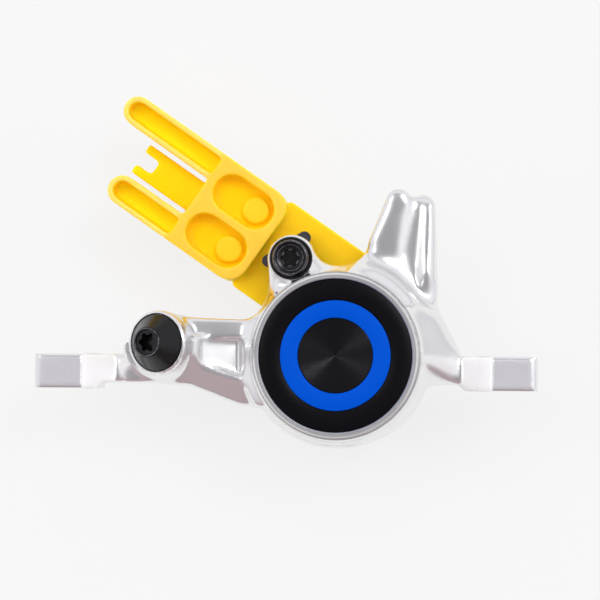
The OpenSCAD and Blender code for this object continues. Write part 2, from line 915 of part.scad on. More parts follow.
module port_bore() {
  at_port() {
    translate([0, 0, -port_thread_len - over])
      cylinder(r = port_thread_r + plug_fit, h = far);
    translate([0, 0, -port_sink])
      cylinder(r = plug_foot_r + plug_fit, h = far);
    translate([0, 0, -port_bevel])
      cylinder(
        r1 = plug_foot_r + plug_fit, r2 = plug_foot_r + plug_fit + 2 * port_bevel,
        h = 2 * port_bevel
      );
  }
}
port_bevel = 0.3;

module bleed_bore() {
  at_bleed()
    translate([0, 0, -bleed_len])
      cylinder(r = bleed_r + bleed_fit, h = far);
}

// Angle of the passage in the bridge from the lowest point of the housing, in degrees
cross_turn = 34;
// Wall between that passage and the seal grooves
cross_wall = 0.3;
// Height of the drillings between the passage and the chambers behind the end of the guides
feed_in = 1.6;
feed_r = 0.8 * passage_r;
// How far the passage from the port lies beside the port's middle
port_feed_side = 1.8;

// Oil runs from the port to the outboard chamber, through the bridge to the inboard one,
// and from there to the bleed screw
module passages() {
  oil_r = bore_r + seal_depth + cross_wall + passage_r;
  oil_z = cavity_z + land_len + feed_in;
  rotate(cross_turn - 90) {
    translate([oil_r, 0, -oil_z - passage_r])
      cylinder(r = passage_r, h = 2 * (oil_z + passage_r));
    for (z = [-oil_z, oil_z])
      translate([0, 0, z])
        rotate([0, 90, 0])
          cylinder(r = feed_r, h = oil_r);
  }
  translate([0, 0, -bleed_deep])
    rotate([90, 0, 0])
      cylinder(r = passage_r, h = bleed_reach - bleed_len + over);
  port_foot = [port_x + port_thread_len * sin(port_lean), port_z - port_thread_len * cos(port_lean)];
  run = [-bore_r + over - port_foot[0], oil_z - port_foot[1]];
  translate([port_foot[0], port_y + port_feed_side, port_foot[1]])
    rotate([0, 90 - atan2(run[1], run[0]), 0])
      cylinder(r = passage_r, h = norm(run));
}

// Rounded slot through each ear and the space above the ear for the frame's post
module mounting_slots() {
  for (x = slot_x)
    along_y(over, ear_t + 2 * over) {
      for (z = [post_offset - slot_run, post_offset + slot_run])
        translate([x, z])
          circle(d = slot_w);
      translate([x - slot_w / 2, post_offset - slot_run])
        square([slot_w, 2 * slot_run]);
    }
}

module post_room() {
  for (x = slot_x)
    along_y(far, far) {
      translate([x, post_offset])
        circle(post_r);
      translate([x - post_r, post_offset])
        square([2 * post_r, far]);
    }
}

module caliper_body() {
  color("gainsboro")
    difference() {
      union() {
        outer_housing();
        inner_housing();
        bridge();
        axle_bosses();
        left_arm();
        port_boss();
        shoulder();
        flange();
        ears();
        horn();
        bleed_boss();
      }
      pad_cavity();
      rotor_slot();
      bridge_window();
      piston_bore();
      mirror([0, 0, 1])
        piston_bore();
      cap_bore();
      axle_hole();
      port_bore();
      bleed_bore();
      passages();
      mounting_slots();
      post_room();
    }
}

// Bore cap

cap_seal_r = cap_plug_r - cap_seal_t / 2;
cap_seal_z = chamber_z + cap_plug_len / 2;

module bore_cap() {
  color("black")
    difference() {
      union() {
        translate([0, 0, chamber_z])
          cylinder(r = cap_plug_r, h = cap_plug_len + over / 2);
        translate([0, 0, cap_seat])
          cylinder(r = cap_r, h = cap_flange_t);
      }
      translate([0, 0, cap_front - ring_depth])
        tube(ring_out_r + ring_fit, ring_in_r - ring_fit, ring_depth + over);
      translate([0, 0, cap_seal_z - cap_seal_t / 2 - cap_fit])
        tube(cap_r + over, cap_seal_r - cap_seal_t / 2 - cap_fit, cap_seal_t + 2 * cap_fit);
    }
}

module cap_seal() {
  color("dimgray")
    translate([0, 0, cap_seal_z])
      o_ring(cap_seal_r, cap_seal_t);
}

module cap_ring() {
  color("royalblue")
    translate([0, 0, cap_front - ring_depth])
      tube(ring_out_r, ring_in_r, ring_depth + ring_proud);
}

// Piston, magnet, seal, plate and lining, drawn for the outboard side

module piston() {
  color("dimgray")
    translate([0, 0, piston_z])
      difference() {
        cylinder(r = piston_r, h = piston_len);
        translate([0, 0, -over])
          tube(piston_r - piston_wall, magnet_r + magnet_wall, piston_hollow + over);
        translate([0, 0, -over])
          cylinder(r = magnet_r + magnet_fit, h = magnet_t + over);
      }
}

module magnet() {
  color("silver")
    translate([0, 0, piston_z])
      cylinder(r = magnet_r, h = magnet_t);
}

// Square ring that grips the piston, drawn clear of it by the running clearance
module piston_seal() {
  color("black")
    translate([0, 0, seal_z + seal_fit])
      tube(bore_r + seal_depth - seal_fit, bore_r, seal_w - 2 * seal_fit);
}

module plate_outline() {
  intersection() {
    circle(plate_r);
    translate([-far, -plate_low])
      square([2 * far, 2 * far]);
  }
  rotate(pad_turn)
    translate([-pad_eye_r, 0])
      square([2 * pad_eye_r, axle_far]);
  translate(axle_at) {
    circle(pad_eye_r);
    rotate(lug_turn) {
      translate([-lug_side, lug_out - lug_r])
        square([2 * lug_side, 2 * lug_r]);
      for (x = [-lug_side, lug_side])
        translate([x, lug_out])
          circle(lug_r);
    }
  }
}

module plate() {
  color("slategray")
    translate([0, 0, plate_z])
      difference() {
        linear_extrude(plate_t)
          plate_outline();
        translate([axle_x, axle_y, -over])
          cylinder(r = axle_r + pad_play, h = plate_t + 2 * over);
      }
}

module lining() {
  color("saddlebrown")
    translate([0, 0, lining_z])
      linear_extrude(lining_t)
        intersection() {
          circle(lining_r);
          translate([-far, -plate_low + lining_inset])
            square([2 * far, plate_low - lining_inset + lining_top]);
        }
}

module inboard() {
  mirror([0, 0, 1])
    children();
}

module outboard_piston() { piston(); }
module outboard_magnet() { magnet(); }
module outboard_piston_seal() { piston_seal(); }
module outboard_plate() { plate(); }
module outboard_lining() { lining(); }
module inboard_piston() { inboard() piston(); }
module inboard_magnet() { inboard() magnet(); }
module inboard_piston_seal() { inboard() piston_seal(); }
module inboard_plate() { inboard() plate(); }
module inboard_lining() { inboard() lining(); }

// Pad axle, screwed in from the outboard side, with a ring that damps it in the inboard boss

axle_seal_t = 0.9;
axle_seal_r = axle_r - axle_seal_t / 2;
axle_seal_z = -(cavity_z + axle_deep) / 2;
axle_top = axle_seat + axle_flange_t + axle_head_h;
axle_star_depth = 1.7;
axle_bevel = 0.4;

module pad_axle() {
  color("black")
    translate([axle_x, axle_y, 0])
      difference() {
        union() {
          translate([0, 0, -axle_deep])
            cylinder(r = axle_r, h = axle_deep + axle_seat + axle_flange_t);
          translate([0, 0, axle_seat])
            cylinder(r = axle_flange_r, h = axle_flange_t);
          translate([0, 0, axle_seat])
            cylinder(r = axle_head_r, h = axle_top - axle_seat - axle_bevel);
          translate([0, 0, axle_top - axle_bevel])
            cylinder(r1 = axle_head_r, r2 = axle_head_r - axle_bevel, h = axle_bevel);
        }
        translate([0, 0, axle_top])
          star_recess(axle_star_r, axle_star_depth);
        translate([0, 0, axle_seal_z - axle_seal_t / 2 - axle_fit])
          tube(axle_r + over, axle_seal_r - axle_seal_t / 2 - axle_fit, axle_seal_t + 2 * axle_fit);
      }
}

module axle_seal() {
  color("dimgray")
    translate([axle_x, axle_y, axle_seal_z])
      o_ring(axle_seal_r, axle_seal_t);
}

// Plug in the hose port and the washer under its head

plug_star_depth = 2.2;

module port_plug() {
  color("black")
    at_port()
      difference() {
        union() {
          translate([0, 0, -port_thread_len])
            cylinder(r = port_thread_r, h = port_thread_len);
          translate([0, 0, washer_t - port_sink])
            cylinder(r = plug_foot_r, h = port_sink - washer_t);
          cylinder(r1 = plug_foot_r, r2 = plug_tip_r, h = plug_cone_h);
        }
        translate([0, 0, plug_cone_h])
          star_recess(plug_star_r, plug_star_depth);
      }
}

module port_washer() {
  color("peru")
    at_port()
      translate([0, 0, -port_sink])
        tube(plug_foot_r - plug_fit, port_thread_r + plug_fit, washer_t);
}

// Bleed screw with its sealing ring

bleed_seal_in = bleed_r - bleed_seal_t / 2;
bleed_seal_at = bleed_len - bleed_seal_t;
bleed_star_depth = 1.6;

module bleed_screw() {
  color("black")
    at_bleed()
      difference() {
        translate([0, 0, -bleed_len])
          cylinder(r = bleed_r, h = bleed_len);
        star_recess(bleed_star_r, bleed_star_depth);
        translate([0, 0, -bleed_seal_at - bleed_seal_t / 2 - bleed_fit])
          tube(
            bleed_r + over, bleed_seal_in - bleed_seal_t / 2 - bleed_fit,
            bleed_seal_t + 2 * bleed_fit
          );
      }
}

module bleed_seal() {
  color("dimgray")
    at_bleed()
      translate([0, 0, -bleed_seal_at])
        o_ring(bleed_seal_in, bleed_seal_t);
}

// Pad spacer: a forked blade between the linings, a grip, two channelled prongs and a tongue between them

module spacer_blade() {
  translate([0, 0, -blade_t / 2])
    linear_extrude(blade_t)
      difference() {
        translate([-grip_near - over, -spacer_half])
          square([grip_near + over + blade_len, 2 * spacer_half]);
        translate([0, -spacer_side])
          circle(fork_half);
        translate([0, -spacer_side - fork_half])
          square([far, 2 * fork_half]);
      }
}

pocket_half = (spacer_half - grip_wall * 1.5) / 2;
pocket_low = -grip_far + grip_wall;
pocket_high = -grip_near - grip_wall;
pocket_side = grip_wall / 2 + pocket_half;
// The two levels at which pockets and channels are cut, from below and from above
hollow_levels = [-grip_half - over, web_t / 2];
hollow_h = grip_half - web_t / 2 + over;

// Outline of one prong from inside the grip out to its round end
module prong_outline(len, w) {
  translate([-grip_far - len + w / 2, 0]) {
    circle(d = w);
    translate([0, -w / 2])
      square([len - w / 2 + grip_corner, w]);
  }
}

module at_prong(side) {
  translate([0, side * (spacer_half - prong_w / 2), 0])
    children();
}

prongs = [[1, prong_long], [-1, prong_short]];

module spacer_block() {
  translate([0, 0, -grip_half])
    linear_extrude(2 * grip_half) {
      round_box([-grip_far, -spacer_half], [-grip_near, spacer_half], grip_corner);
      for (p = prongs)
        at_prong(p[0])
          prong_outline(p[1], prong_w);
    }
}

module grip_pockets() {
  for (side = [-1, 1])
    translate([0, side * pocket_side])
      round_box([pocket_low, -pocket_half], [pocket_high, pocket_half], pocket_half - set_back);
}

module prong_channels() {
  for (p = prongs)
    at_prong(p[0])
      intersection() {
        translate([prong_wall, 0])
          prong_outline(p[1], prong_w - 2 * prong_wall);
        translate([-grip_far - far, -far])
          square([far, 2 * far]);
      }
}

module spacer_grip() {
  difference() {
    spacer_block();
    for (z = hollow_levels)
      translate([0, 0, z])
        linear_extrude(hollow_h) {
          grip_pockets();
          prong_channels();
        }
  }
  for (side = [-1, 1])
    translate([pocket_high - pocket_half, side * pocket_side, -web_t / 2 - bump_h])
      cylinder(r = bump_r, h = web_t + 2 * bump_h);
}

module spacer_tongue() {
  half = spacer_half - prong_w - tongue_gap;
  translate([-grip_far - tongue_len, 0, -web_t / 2])
    difference() {
      translate([0, -half, 0])
        cube([tongue_len + over, 2 * half, web_t]);
      translate([-over, -notch_w / 2, -over])
        cube([notch_len + over, notch_w, web_t + 2 * over]);
    }
}

module pad_spacer() {
  color("gold")
    at_spacer() {
      spacer_blade();
      spacer_grip();
      spacer_tongue();
    }
}

caliper_body();
bore_cap();
cap_seal();
cap_ring();
outboard_piston();
outboard_magnet();
outboard_piston_seal();
outboard_plate();
outboard_lining();
inboard_piston();
inboard_magnet();
inboard_piston_seal();
inboard_plate();
inboard_lining();
pad_axle();
axle_seal();
port_plug();
port_washer();
bleed_screw();
bleed_seal();
pad_spacer();
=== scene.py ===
import math
import bpy
from mathutils import Matrix, Vector


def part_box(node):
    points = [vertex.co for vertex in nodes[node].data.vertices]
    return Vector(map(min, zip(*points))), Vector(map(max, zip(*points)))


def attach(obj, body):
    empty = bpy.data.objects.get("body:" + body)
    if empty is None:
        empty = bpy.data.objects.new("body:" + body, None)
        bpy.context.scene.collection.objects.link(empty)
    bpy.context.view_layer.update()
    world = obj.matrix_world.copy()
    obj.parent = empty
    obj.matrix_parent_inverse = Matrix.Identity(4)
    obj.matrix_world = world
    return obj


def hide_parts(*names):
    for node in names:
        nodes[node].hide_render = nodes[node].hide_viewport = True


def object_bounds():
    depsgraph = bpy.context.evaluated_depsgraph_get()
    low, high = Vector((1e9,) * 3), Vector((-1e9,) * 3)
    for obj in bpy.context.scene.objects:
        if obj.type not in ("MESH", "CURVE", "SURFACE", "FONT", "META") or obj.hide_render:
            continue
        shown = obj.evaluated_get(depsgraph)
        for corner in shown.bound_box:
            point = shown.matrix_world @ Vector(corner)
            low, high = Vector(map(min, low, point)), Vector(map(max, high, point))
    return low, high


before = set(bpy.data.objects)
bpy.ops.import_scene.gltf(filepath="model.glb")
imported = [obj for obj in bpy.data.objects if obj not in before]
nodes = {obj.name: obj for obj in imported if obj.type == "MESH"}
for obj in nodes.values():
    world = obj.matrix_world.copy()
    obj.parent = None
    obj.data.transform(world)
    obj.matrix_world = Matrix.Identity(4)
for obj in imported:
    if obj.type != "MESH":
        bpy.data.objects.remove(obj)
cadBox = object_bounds()
mm = 0.001
print("frame loaded:", len(nodes), "nodes")


# modelling helpers; their sizes are in millimetres

# points nearer to each other than this are merged
merging = {"copy": 0.002, "spin": 0.0005, "cut": 0.001}


def only(piece):
    if bpy.context.mode != "OBJECT":
        bpy.ops.object.mode_set(mode="OBJECT")
    bpy.ops.object.select_all(action="DESELECT")
    piece.select_set(True)
    bpy.context.view_layer.objects.active = piece


def editAll(piece):
    only(piece)
    bpy.ops.object.mode_set(mode="EDIT")
    bpy.ops.mesh.select_all(action="SELECT")


def applyModifier(piece, kind, **settings):
    only(piece)
    modifier = piece.modifiers.new(kind.lower(), kind)
    for key, value in settings.items():
        setattr(modifier, key, value)
    bpy.ops.object.modifier_apply(modifier=modifier.name)


def settle(piece):
    only(piece)
    bpy.ops.object.transform_apply(location=True, rotation=True, scale=True)


def shadeByAngle(piece, degrees=32):
    only(piece)
    bpy.ops.object.shade_smooth_by_angle(angle=math.radians(degrees))


def emptyPiece(name):
    piece = bpy.data.objects.new(name, bpy.data.meshes.new(name))
    bpy.context.scene.collection.objects.link(piece)
    return piece


# a copy of a solid's mesh with its loose triangles merged
def copyOfNode(nodeName, pieceName):
    piece = bpy.data.objects.new(pieceName, nodes[nodeName].data.copy())
    bpy.context.scene.collection.objects.link(piece)
    piece.data.materials.clear()
    editAll(piece)
    bpy.ops.mesh.customdata_custom_splitnormals_clear()
    bpy.ops.mesh.remove_doubles(threshold=merging["copy"] * mm)
    bpy.ops.object.mode_set(mode="OBJECT")
    return piece


# a profile of (radius, height) spun about Z
def turned(name, profile, ring=False, steps=96):
    piece = emptyPiece(name)
    points = [(radius * mm, 0, height * mm) for radius, height in profile]
    edges = [(i, i + 1) for i in range(len(points) - 1)]
    if ring:
        edges.append((len(points) - 1, 0))
    piece.data.from_pydata(points, edges, [])
    editAll(piece)
    bpy.ops.mesh.spin(steps=steps, angle=2 * math.pi, center=(0, 0, 0), axis=(0, 0, 1))
    bpy.ops.mesh.select_all(action="SELECT")
    bpy.ops.mesh.remove_doubles(threshold=merging["spin"] * mm)
    bpy.ops.mesh.normals_make_consistent(inside=False)
    bpy.ops.object.mode_set(mode="OBJECT")
    return piece


def rod(name, radius, start, end, sides=48):
    start, end = Vector(start) * mm, Vector(end) * mm
    run = end - start
    bpy.ops.object.select_all(action="DESELECT")
    bpy.ops.mesh.primitive_cylinder_add(vertices=sides, radius=radius * mm, depth=run.length)
    piece = bpy.context.object
    piece.name = name
    turn = run.to_track_quat("Z", "Y").to_matrix().to_4x4()
    piece.matrix_world = Matrix.Translation((start + end) / 2) @ turn
    settle(piece)
    return piece


# a box between two corners
def block(name, low, high):
    low, high = Vector(low) * mm, Vector(high) * mm
    bpy.ops.object.select_all(action="DESELECT")
    bpy.ops.mesh.primitive_cube_add(size=1, location=(low + high) / 2)
    piece = bpy.context.object
    piece.name = name
    piece.scale = high - low
    settle(piece)
    return piece


def combine(piece, tool, how="DIFFERENCE"):
    applyModifier(piece, "BOOLEAN", operation=how, solver="MANIFOLD", object=tool)
    bpy.data.objects.remove(tool)


# faces without area that the cuts leave are taken out
def clean(piece):
    editAll(piece)
    bpy.ops.mesh.remove_doubles(threshold=merging["cut"] * mm)
    bpy.ops.mesh.dissolve_degenerate(threshold=merging["cut"] * mm)
    bpy.ops.object.mode_set(mode="OBJECT")


def bevelEdges(piece, width, sharpest=40):
    applyModifier(piece, "BEVEL", width=width * mm, segments=2, limit_method="ANGLE",
                  angle_limit=math.radians(sharpest))


# no point of a piece stands out of its solid's box
def keepInside(piece, nodeName):
    low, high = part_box(nodeName)
    for vertex in piece.data.vertices:
        vertex.co = [min(max(place, least), most) for place, least, most in zip(vertex.co, low, high)]


def paint(piece, *looks):
    piece.data.materials.clear()
    for look in looks:
        piece.data.materials.append(finish[look])
    for face in piece.data.polygons:
        face.material_index = 0


def finishPiece(piece, body, slot, *replaced):
    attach(piece, body)
    if replaced:
        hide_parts(*replaced)


# shader helpers

def newMaterial(name, color, metallic=0.0, roughness=0.4):
    material = bpy.data.materials.new(name)
    material.use_nodes = True
    tree = material.node_tree
    shader = tree.nodes["Principled BSDF"]
    shader.inputs["Base Color"].default_value = (*color, 1)
    shader.inputs["Metallic"].default_value = metallic
    shader.inputs["Roughness"].default_value = roughness
    place = tree.nodes.new("ShaderNodeTexCoord")
    return material, tree, shader, place.outputs["Object"]


# a socket takes a value or another node's output
def setSocket(tree, socket, value):
    if isinstance(value, bpy.types.NodeSocket):
        tree.links.new(value, socket)
    else:
        socket.default_value = value


def noise(tree, coords, scale, detail=3.0, stretch=None):
    if stretch:
        mapping = tree.nodes.new("ShaderNodeMapping")
        mapping.inputs["Scale"].default_value = stretch
        tree.links.new(coords, mapping.inputs["Vector"])
        coords = mapping.outputs["Vector"]
    texture = tree.nodes.new("ShaderNodeTexNoise")
    texture.inputs["Scale"].default_value = scale
    texture.inputs["Detail"].default_value = detail
    tree.links.new(coords, texture.inputs["Vector"])
    return texture.outputs["Fac"]


def spread(tree, value, low, high, fromLow=0.3, fromHigh=0.7, how="LINEAR"):
    node = tree.nodes.new("ShaderNodeMapRange")
    node.interpolation_type = how
    node.inputs["From Min"].default_value = fromLow
    node.inputs["From Max"].default_value = fromHigh
    node.inputs["To Min"].default_value = low
    node.inputs["To Max"].default_value = high
    tree.links.new(value, node.inputs["Value"])
    return node.outputs["Result"]


def bands(tree, value, stops, how="LINEAR"):
    node = tree.nodes.new("ShaderNodeValToRGB")
    node.color_ramp.interpolation = how
    while len(node.color_ramp.elements) < len(stops):
        node.color_ramp.elements.new(0.5)
    for element, (position, color) in zip(node.color_ramp.elements, stops):
        element.position = position
        element.color = (*color, 1)
    tree.links.new(value, node.inputs["Fac"])
    return node.outputs["Color"]


def tint(tree, value, first, second, fromLow=0.3, fromHigh=0.7):
    return bands(tree, value, ((fromLow, first), (fromHigh, second)))


# the sockets of a mix node that take and give colours
mixSockets = {"first": 6, "second": 7, "result": 2}


# two colours mixed by a share
def mixed(tree, share, first, second, how="MIX"):
    node = tree.nodes.new("ShaderNodeMix")
    node.data_type = "RGBA"
    node.blend_type = how
    setSocket(tree, node.inputs["Factor"], share)
    setSocket(tree, node.inputs[mixSockets["first"]], first)
    setSocket(tree, node.inputs[mixSockets["second"]], second)
    return node.outputs[mixSockets["result"]]


def calculated(tree, how, value, other=0.0):
    node = tree.nodes.new("ShaderNodeMath")
    node.operation = how
    setSocket(tree, node.inputs[0], value)
    setSocket(tree, node.inputs[1], other)
    return node.outputs[0]


# the size of a vector's part along Z
def upright(tree, vector):
    parts = tree.nodes.new("ShaderNodeSeparateXYZ")
    tree.links.new(vector, parts.inputs["Vector"])
    return calculated(tree, "ABSOLUTE", parts.outputs["Z"])


# how far a vector reaches along a direction
def reaching(tree, vector, toward):
    dot = tree.nodes.new("ShaderNodeVectorMath")
    dot.operation = "DOT_PRODUCT"
    dot.inputs[1].default_value = toward
    tree.links.new(vector, dot.inputs[0])
    return dot.outputs["Value"]


def colorFrom(tree, shader, color):
    tree.links.new(color, shader.inputs["Base Color"])


def roughnessFrom(tree, shader, value, span):
    tree.links.new(spread(tree, value, *span), shader.inputs["Roughness"])


def bump(tree, shader, height, strength, depth):
    node = tree.nodes.new("ShaderNodeBump")
    node.inputs["Strength"].default_value = strength
    node.inputs["Distance"].default_value = depth * mm
    tree.links.new(height, node.inputs["Height"])
    tree.links.new(node.outputs["Normal"], shader.inputs["Normal"])


# materials; a grain, haze or fibre is (scale, detail), a bump is (strength, depth in millimetres)

polished = {
    "color": (0.88, 0.88, 0.875), "dull": (0.86, 0.86, 0.86), "bright": (0.9, 0.895, 0.885),
    "roughness": (0.22, 0.28), "haze": (140, 3), "grain": (2600, 2), "bump": (0.02, 0.02)}


def polishedAluminium():
    material, tree, shader, coords = newMaterial("polishedAluminium", polished["color"], 1.0)
    haze = noise(tree, coords, *polished["haze"])
    roughnessFrom(tree, shader, haze, polished["roughness"])
    colorFrom(tree, shader, tint(tree, haze, polished["dull"], polished["bright"]))
    bump(tree, shader, noise(tree, coords, *polished["grain"]), *polished["bump"])
    return material


satin = {
    "color": (0.65, 0.63, 0.66), "dull": (0.58, 0.56, 0.59), "metallic": 0.6, "roughness": (0.3, 0.42),
    "grain": (5200, 2), "lines": (1, 2, (9000, 500, 500)), "bump": (0.12, 0.02)}


def satinAluminium():
    material, tree, shader, coords = newMaterial("satinAluminium", satin["color"], satin["metallic"])
    grain = noise(tree, coords, *satin["grain"])
    roughnessFrom(tree, shader, grain, satin["roughness"])
    colorFrom(tree, shader, tint(tree, grain, satin["dull"], satin["color"]))
    bump(tree, shader, noise(tree, coords, *satin["lines"]), *satin["bump"])
    return material


blasted = {
    "color": (0.97, 0.97, 0.965), "dull": (0.93, 0.925, 0.92), "metallic": 0.1, "roughness": (0.5, 0.62),
    "grain": (4200, 4), "lines": (1, 2, (2600, 60, 2600)), "bump": (0.2, 0.02)}


def blastedAluminium():
    material, tree, shader, coords = newMaterial("blastedAluminium", blasted["color"], blasted["metallic"])
    roughnessFrom(tree, shader, noise(tree, coords, *blasted["grain"]), blasted["roughness"])
    lines = noise(tree, coords, *blasted["lines"])
    colorFrom(tree, shader, tint(tree, lines, blasted["dull"], blasted["color"]))
    bump(tree, shader, lines, *blasted["bump"])
    return material


anodised = {
    "color": (0.0012, 0.0008, 0.002), "groove": 1400, "waver": 0.6, "waverScale": 300, "grain": (3000, 3),
    "bump": (0.08, 0.01), "turn": 0.25,
    "rim": {"roughness": (0.26, 0.36), "specular": 0.14, "anisotropy": 0.0},
    "disc": {"roughness": (0.27, 0.32), "specular": 0.27, "anisotropy": 0.94}}


def turnedBlack(name, look):
    material, tree, shader, coords = newMaterial(name, anodised["color"])
    shader.inputs["Anisotropic"].default_value = look["anisotropy"]
    shader.inputs["Anisotropic Rotation"].default_value = anodised["turn"]
    shader.inputs["Specular IOR Level"].default_value = look["specular"]
    tangent = tree.nodes.new("ShaderNodeTangent")
    tangent.direction_type = "RADIAL"
    tangent.axis = "Z"
    tree.links.new(tangent.outputs["Tangent"], shader.inputs["Tangent"])
    rings = tree.nodes.new("ShaderNodeTexWave")
    rings.wave_type = "RINGS"
    rings.rings_direction = "Z"
    rings.inputs["Scale"].default_value = anodised["groove"]
    rings.inputs["Distortion"].default_value = anodised["waver"]
    rings.inputs["Detail Scale"].default_value = anodised["waverScale"]
    tree.links.new(coords, rings.inputs["Vector"])
    roughnessFrom(tree, shader, noise(tree, coords, *anodised["grain"]), look["roughness"])
    bump(tree, shader, rings.outputs["Fac"], *anodised["bump"])
    return material


ringBlue = {
    "color": (0.0, 0.072, 0.52), "deep": (0.0, 0.066, 0.48), "specular": 0.03, "roughness": (0.34, 0.44),
    "grain": (3600, 3), "bump": (0.03, 0.01)}


def blueAnodised():
    material, tree, shader, coords = newMaterial("blueAnodised", ringBlue["color"])
    shader.inputs["Specular IOR Level"].default_value = ringBlue["specular"]
    grain = noise(tree, coords, *ringBlue["grain"])
    roughnessFrom(tree, shader, grain, ringBlue["roughness"])
    colorFrom(tree, shader, tint(tree, grain, ringBlue["deep"], ringBlue["color"]))
    bump(tree, shader, grain, *ringBlue["bump"])
    return material


# the edge look is brighter and metallic: rubbed wear and a painted highlight on the screws' bevel rings
oxide = {
    "face": {"dark": (0.001, 0.0008, 0.0012), "light": (0.004, 0.0036, 0.004), "metallic": 0.0},
    "edge": {"dark": (0.04, 0.036, 0.044), "light": (0.16, 0.155, 0.17), "metallic": 0.7},
    "specular": 0.36, "roughness": (0.16, 0.28), "grain": (1500, 3), "pores": (4200, 3),
    "bump": (0.05, 0.02)}


def blackOxide(name, look):
    material, tree, shader, coords = newMaterial(name, oxide["face"]["dark"], look["metallic"])
    shader.inputs["Specular IOR Level"].default_value = oxide["specular"]
    grain = noise(tree, coords, *oxide["grain"])
    roughnessFrom(tree, shader, grain, oxide["roughness"])
    colorFrom(tree, shader, tint(tree, grain, look["dark"], look["light"]))
    bump(tree, shader, noise(tree, coords, *oxide["pores"]), *oxide["bump"])
    return material


# colours of its floors and rims are given with their places along the spacer; they paint light: the pocket
# floors are deeper yellow and the blade more orange as painted glow and bounce light through the thin
# plastic, the channel is lighter to lift the shade of its walls, and the rims are paler as a painted sheen
plastic = {
    "way": (-0.821, 0.571, 0), "across": (0.571, 0.821, 0), "reach": 60,
    "middle": 8.47, "tongueHalf": (3.2, 3.5),
    "glowFloors": ((22.1, (0.94, 0.6, 0.01)), (22.4, (1.0, 0.64, 0.0)), (37.1, (1.0, 0.64, 0.0))),
    "tongue": (37.4, (1.0, 0.63, 0.0)), "channel": (37.4, (1.0, 0.79, 0.0)),
    "sheenRims": ((37.1, (1.0, 0.55, 0.055)), (38.1, (1.0, 0.63, 0.13))), "sheenHeight": (1.2, 4.6),
    "side": (1.0, 0.7, 0.02), "deep": (1.0, 0.67, 0.012), "sideHaze": (160, 3), "faceTilt": (0.5, 0.9),
    "specular": 0.14, "glow": 0.5, "glowColor": (1.0, 0.6, 0.1), "glowDepth": 2.0,
    "roughness": (0.34, 0.46), "grain": (3200, 2), "bump": (0.06, 0.02)}


def alongSpacer(tree, run, stops):
    return bands(tree, run, [(place / plastic["reach"], color) for place, color in stops])


# its colour is painted light: floors and rims change colour by place and height as painted glow, lifted
# shade and sheen, and its walls take their own lighter colour by facing
def yellowPlastic():
    material, tree, shader, coords = newMaterial("yellowPlastic", plastic["side"])
    shader.inputs["Specular IOR Level"].default_value = plastic["specular"]
    shader.inputs["Subsurface Weight"].default_value = plastic["glow"]
    shader.inputs["Subsurface Radius"].default_value = plastic["glowColor"]
    shader.inputs["Subsurface Scale"].default_value = plastic["glowDepth"] * mm
    run = spread(tree, reaching(tree, coords, plastic["way"]), 0, 1, 0, plastic["reach"] * mm)
    side = reaching(tree, coords, plastic["across"])
    aside = calculated(tree, "ABSOLUTE", calculated(tree, "SUBTRACT", side, plastic["middle"] * mm))
    inChannel = spread(tree, aside, 0, 1, *(half * mm for half in plastic["tongueHalf"]))
    # painted glow and lifted shade: the floors' colour changes along the spacer, and the channel beside the
    # tongue is lighter
    glowFloors = mixed(
        tree, inChannel, alongSpacer(tree, run, (*plastic["glowFloors"], plastic["tongue"])),
        alongSpacer(tree, run, (*plastic["glowFloors"], plastic["channel"])))
    # painted sheen: surfaces high on the spacer take the paler, milkier rim colours
    sheenShare = spread(tree, upright(tree, coords), 0, 1, *(height * mm for height in plastic["sheenHeight"]))
    faces = mixed(tree, sheenShare, glowFloors, alongSpacer(tree, run, plastic["sheenRims"]))
    sides = tint(tree, noise(tree, coords, *plastic["sideHaze"]), plastic["deep"], plastic["side"])
    # painted shade lift: walls, which face sideways, take a lighter colour than the up-facing floors; their
    # tone also varies at random
    normal = tree.nodes.new("ShaderNodeTexCoord").outputs["Normal"]
    level = spread(tree, upright(tree, normal), 0, 1, *plastic["faceTilt"])
    colorFrom(tree, shader, mixed(tree, level, sides, faces))
    grain = noise(tree, coords, *plastic["grain"])
    roughnessFrom(tree, shader, grain, plastic["roughness"])
    bump(tree, shader, grain, *plastic["bump"])
    return material


rubber = {
    "color": (0.018, 0.018, 0.018), "dark": (0.014, 0.014, 0.014), "light": (0.026, 0.026, 0.025),
    "roughness": (0.5, 0.72), "grain": (2400, 3)}


def sealRubber():
    material, tree, shader, coords = newMaterial("sealRubber", rubber["color"])
    grain = noise(tree, coords, *rubber["grain"])
    roughnessFrom(tree, shader, grain, rubber["roughness"])
    colorFrom(tree, shader, tint(tree, grain, rubber["dark"], rubber["light"]))
    return material


resin = {
    "color": (0.05, 0.045, 0.04), "dark": (0.035, 0.032, 0.03), "light": (0.075, 0.066, 0.056),
    "roughness": 0.5, "fibres": (900, 6, (1, 1, 4)), "bump": (0.05, 0.03)}


def pistonResin():
    material, tree, shader, coords = newMaterial("pistonResin", resin["color"], 0.0, resin["roughness"])
    fibres = noise(tree, coords, *resin["fibres"])
    colorFrom(tree, shader, tint(tree, fibres, resin["dark"], resin["light"]))
    bump(tree, shader, fibres, *resin["bump"])
    return material


nickel = {"color": (0.62, 0.6, 0.56), "roughness": (0.14, 0.3), "haze": (700, 3)}


def magnetNickel():
    material, tree, shader, coords = newMaterial("magnetNickel", nickel["color"], 1.0)
    roughnessFrom(tree, shader, noise(tree, coords, *nickel["haze"]), nickel["roughness"])
    return material


steel = {
    "color": (0.014, 0.013, 0.018), "light": (0.036, 0.034, 0.044), "roughness": (0.32, 0.5),
    "speckle": (1800, 4), "bump": (0.08, 0.03)}


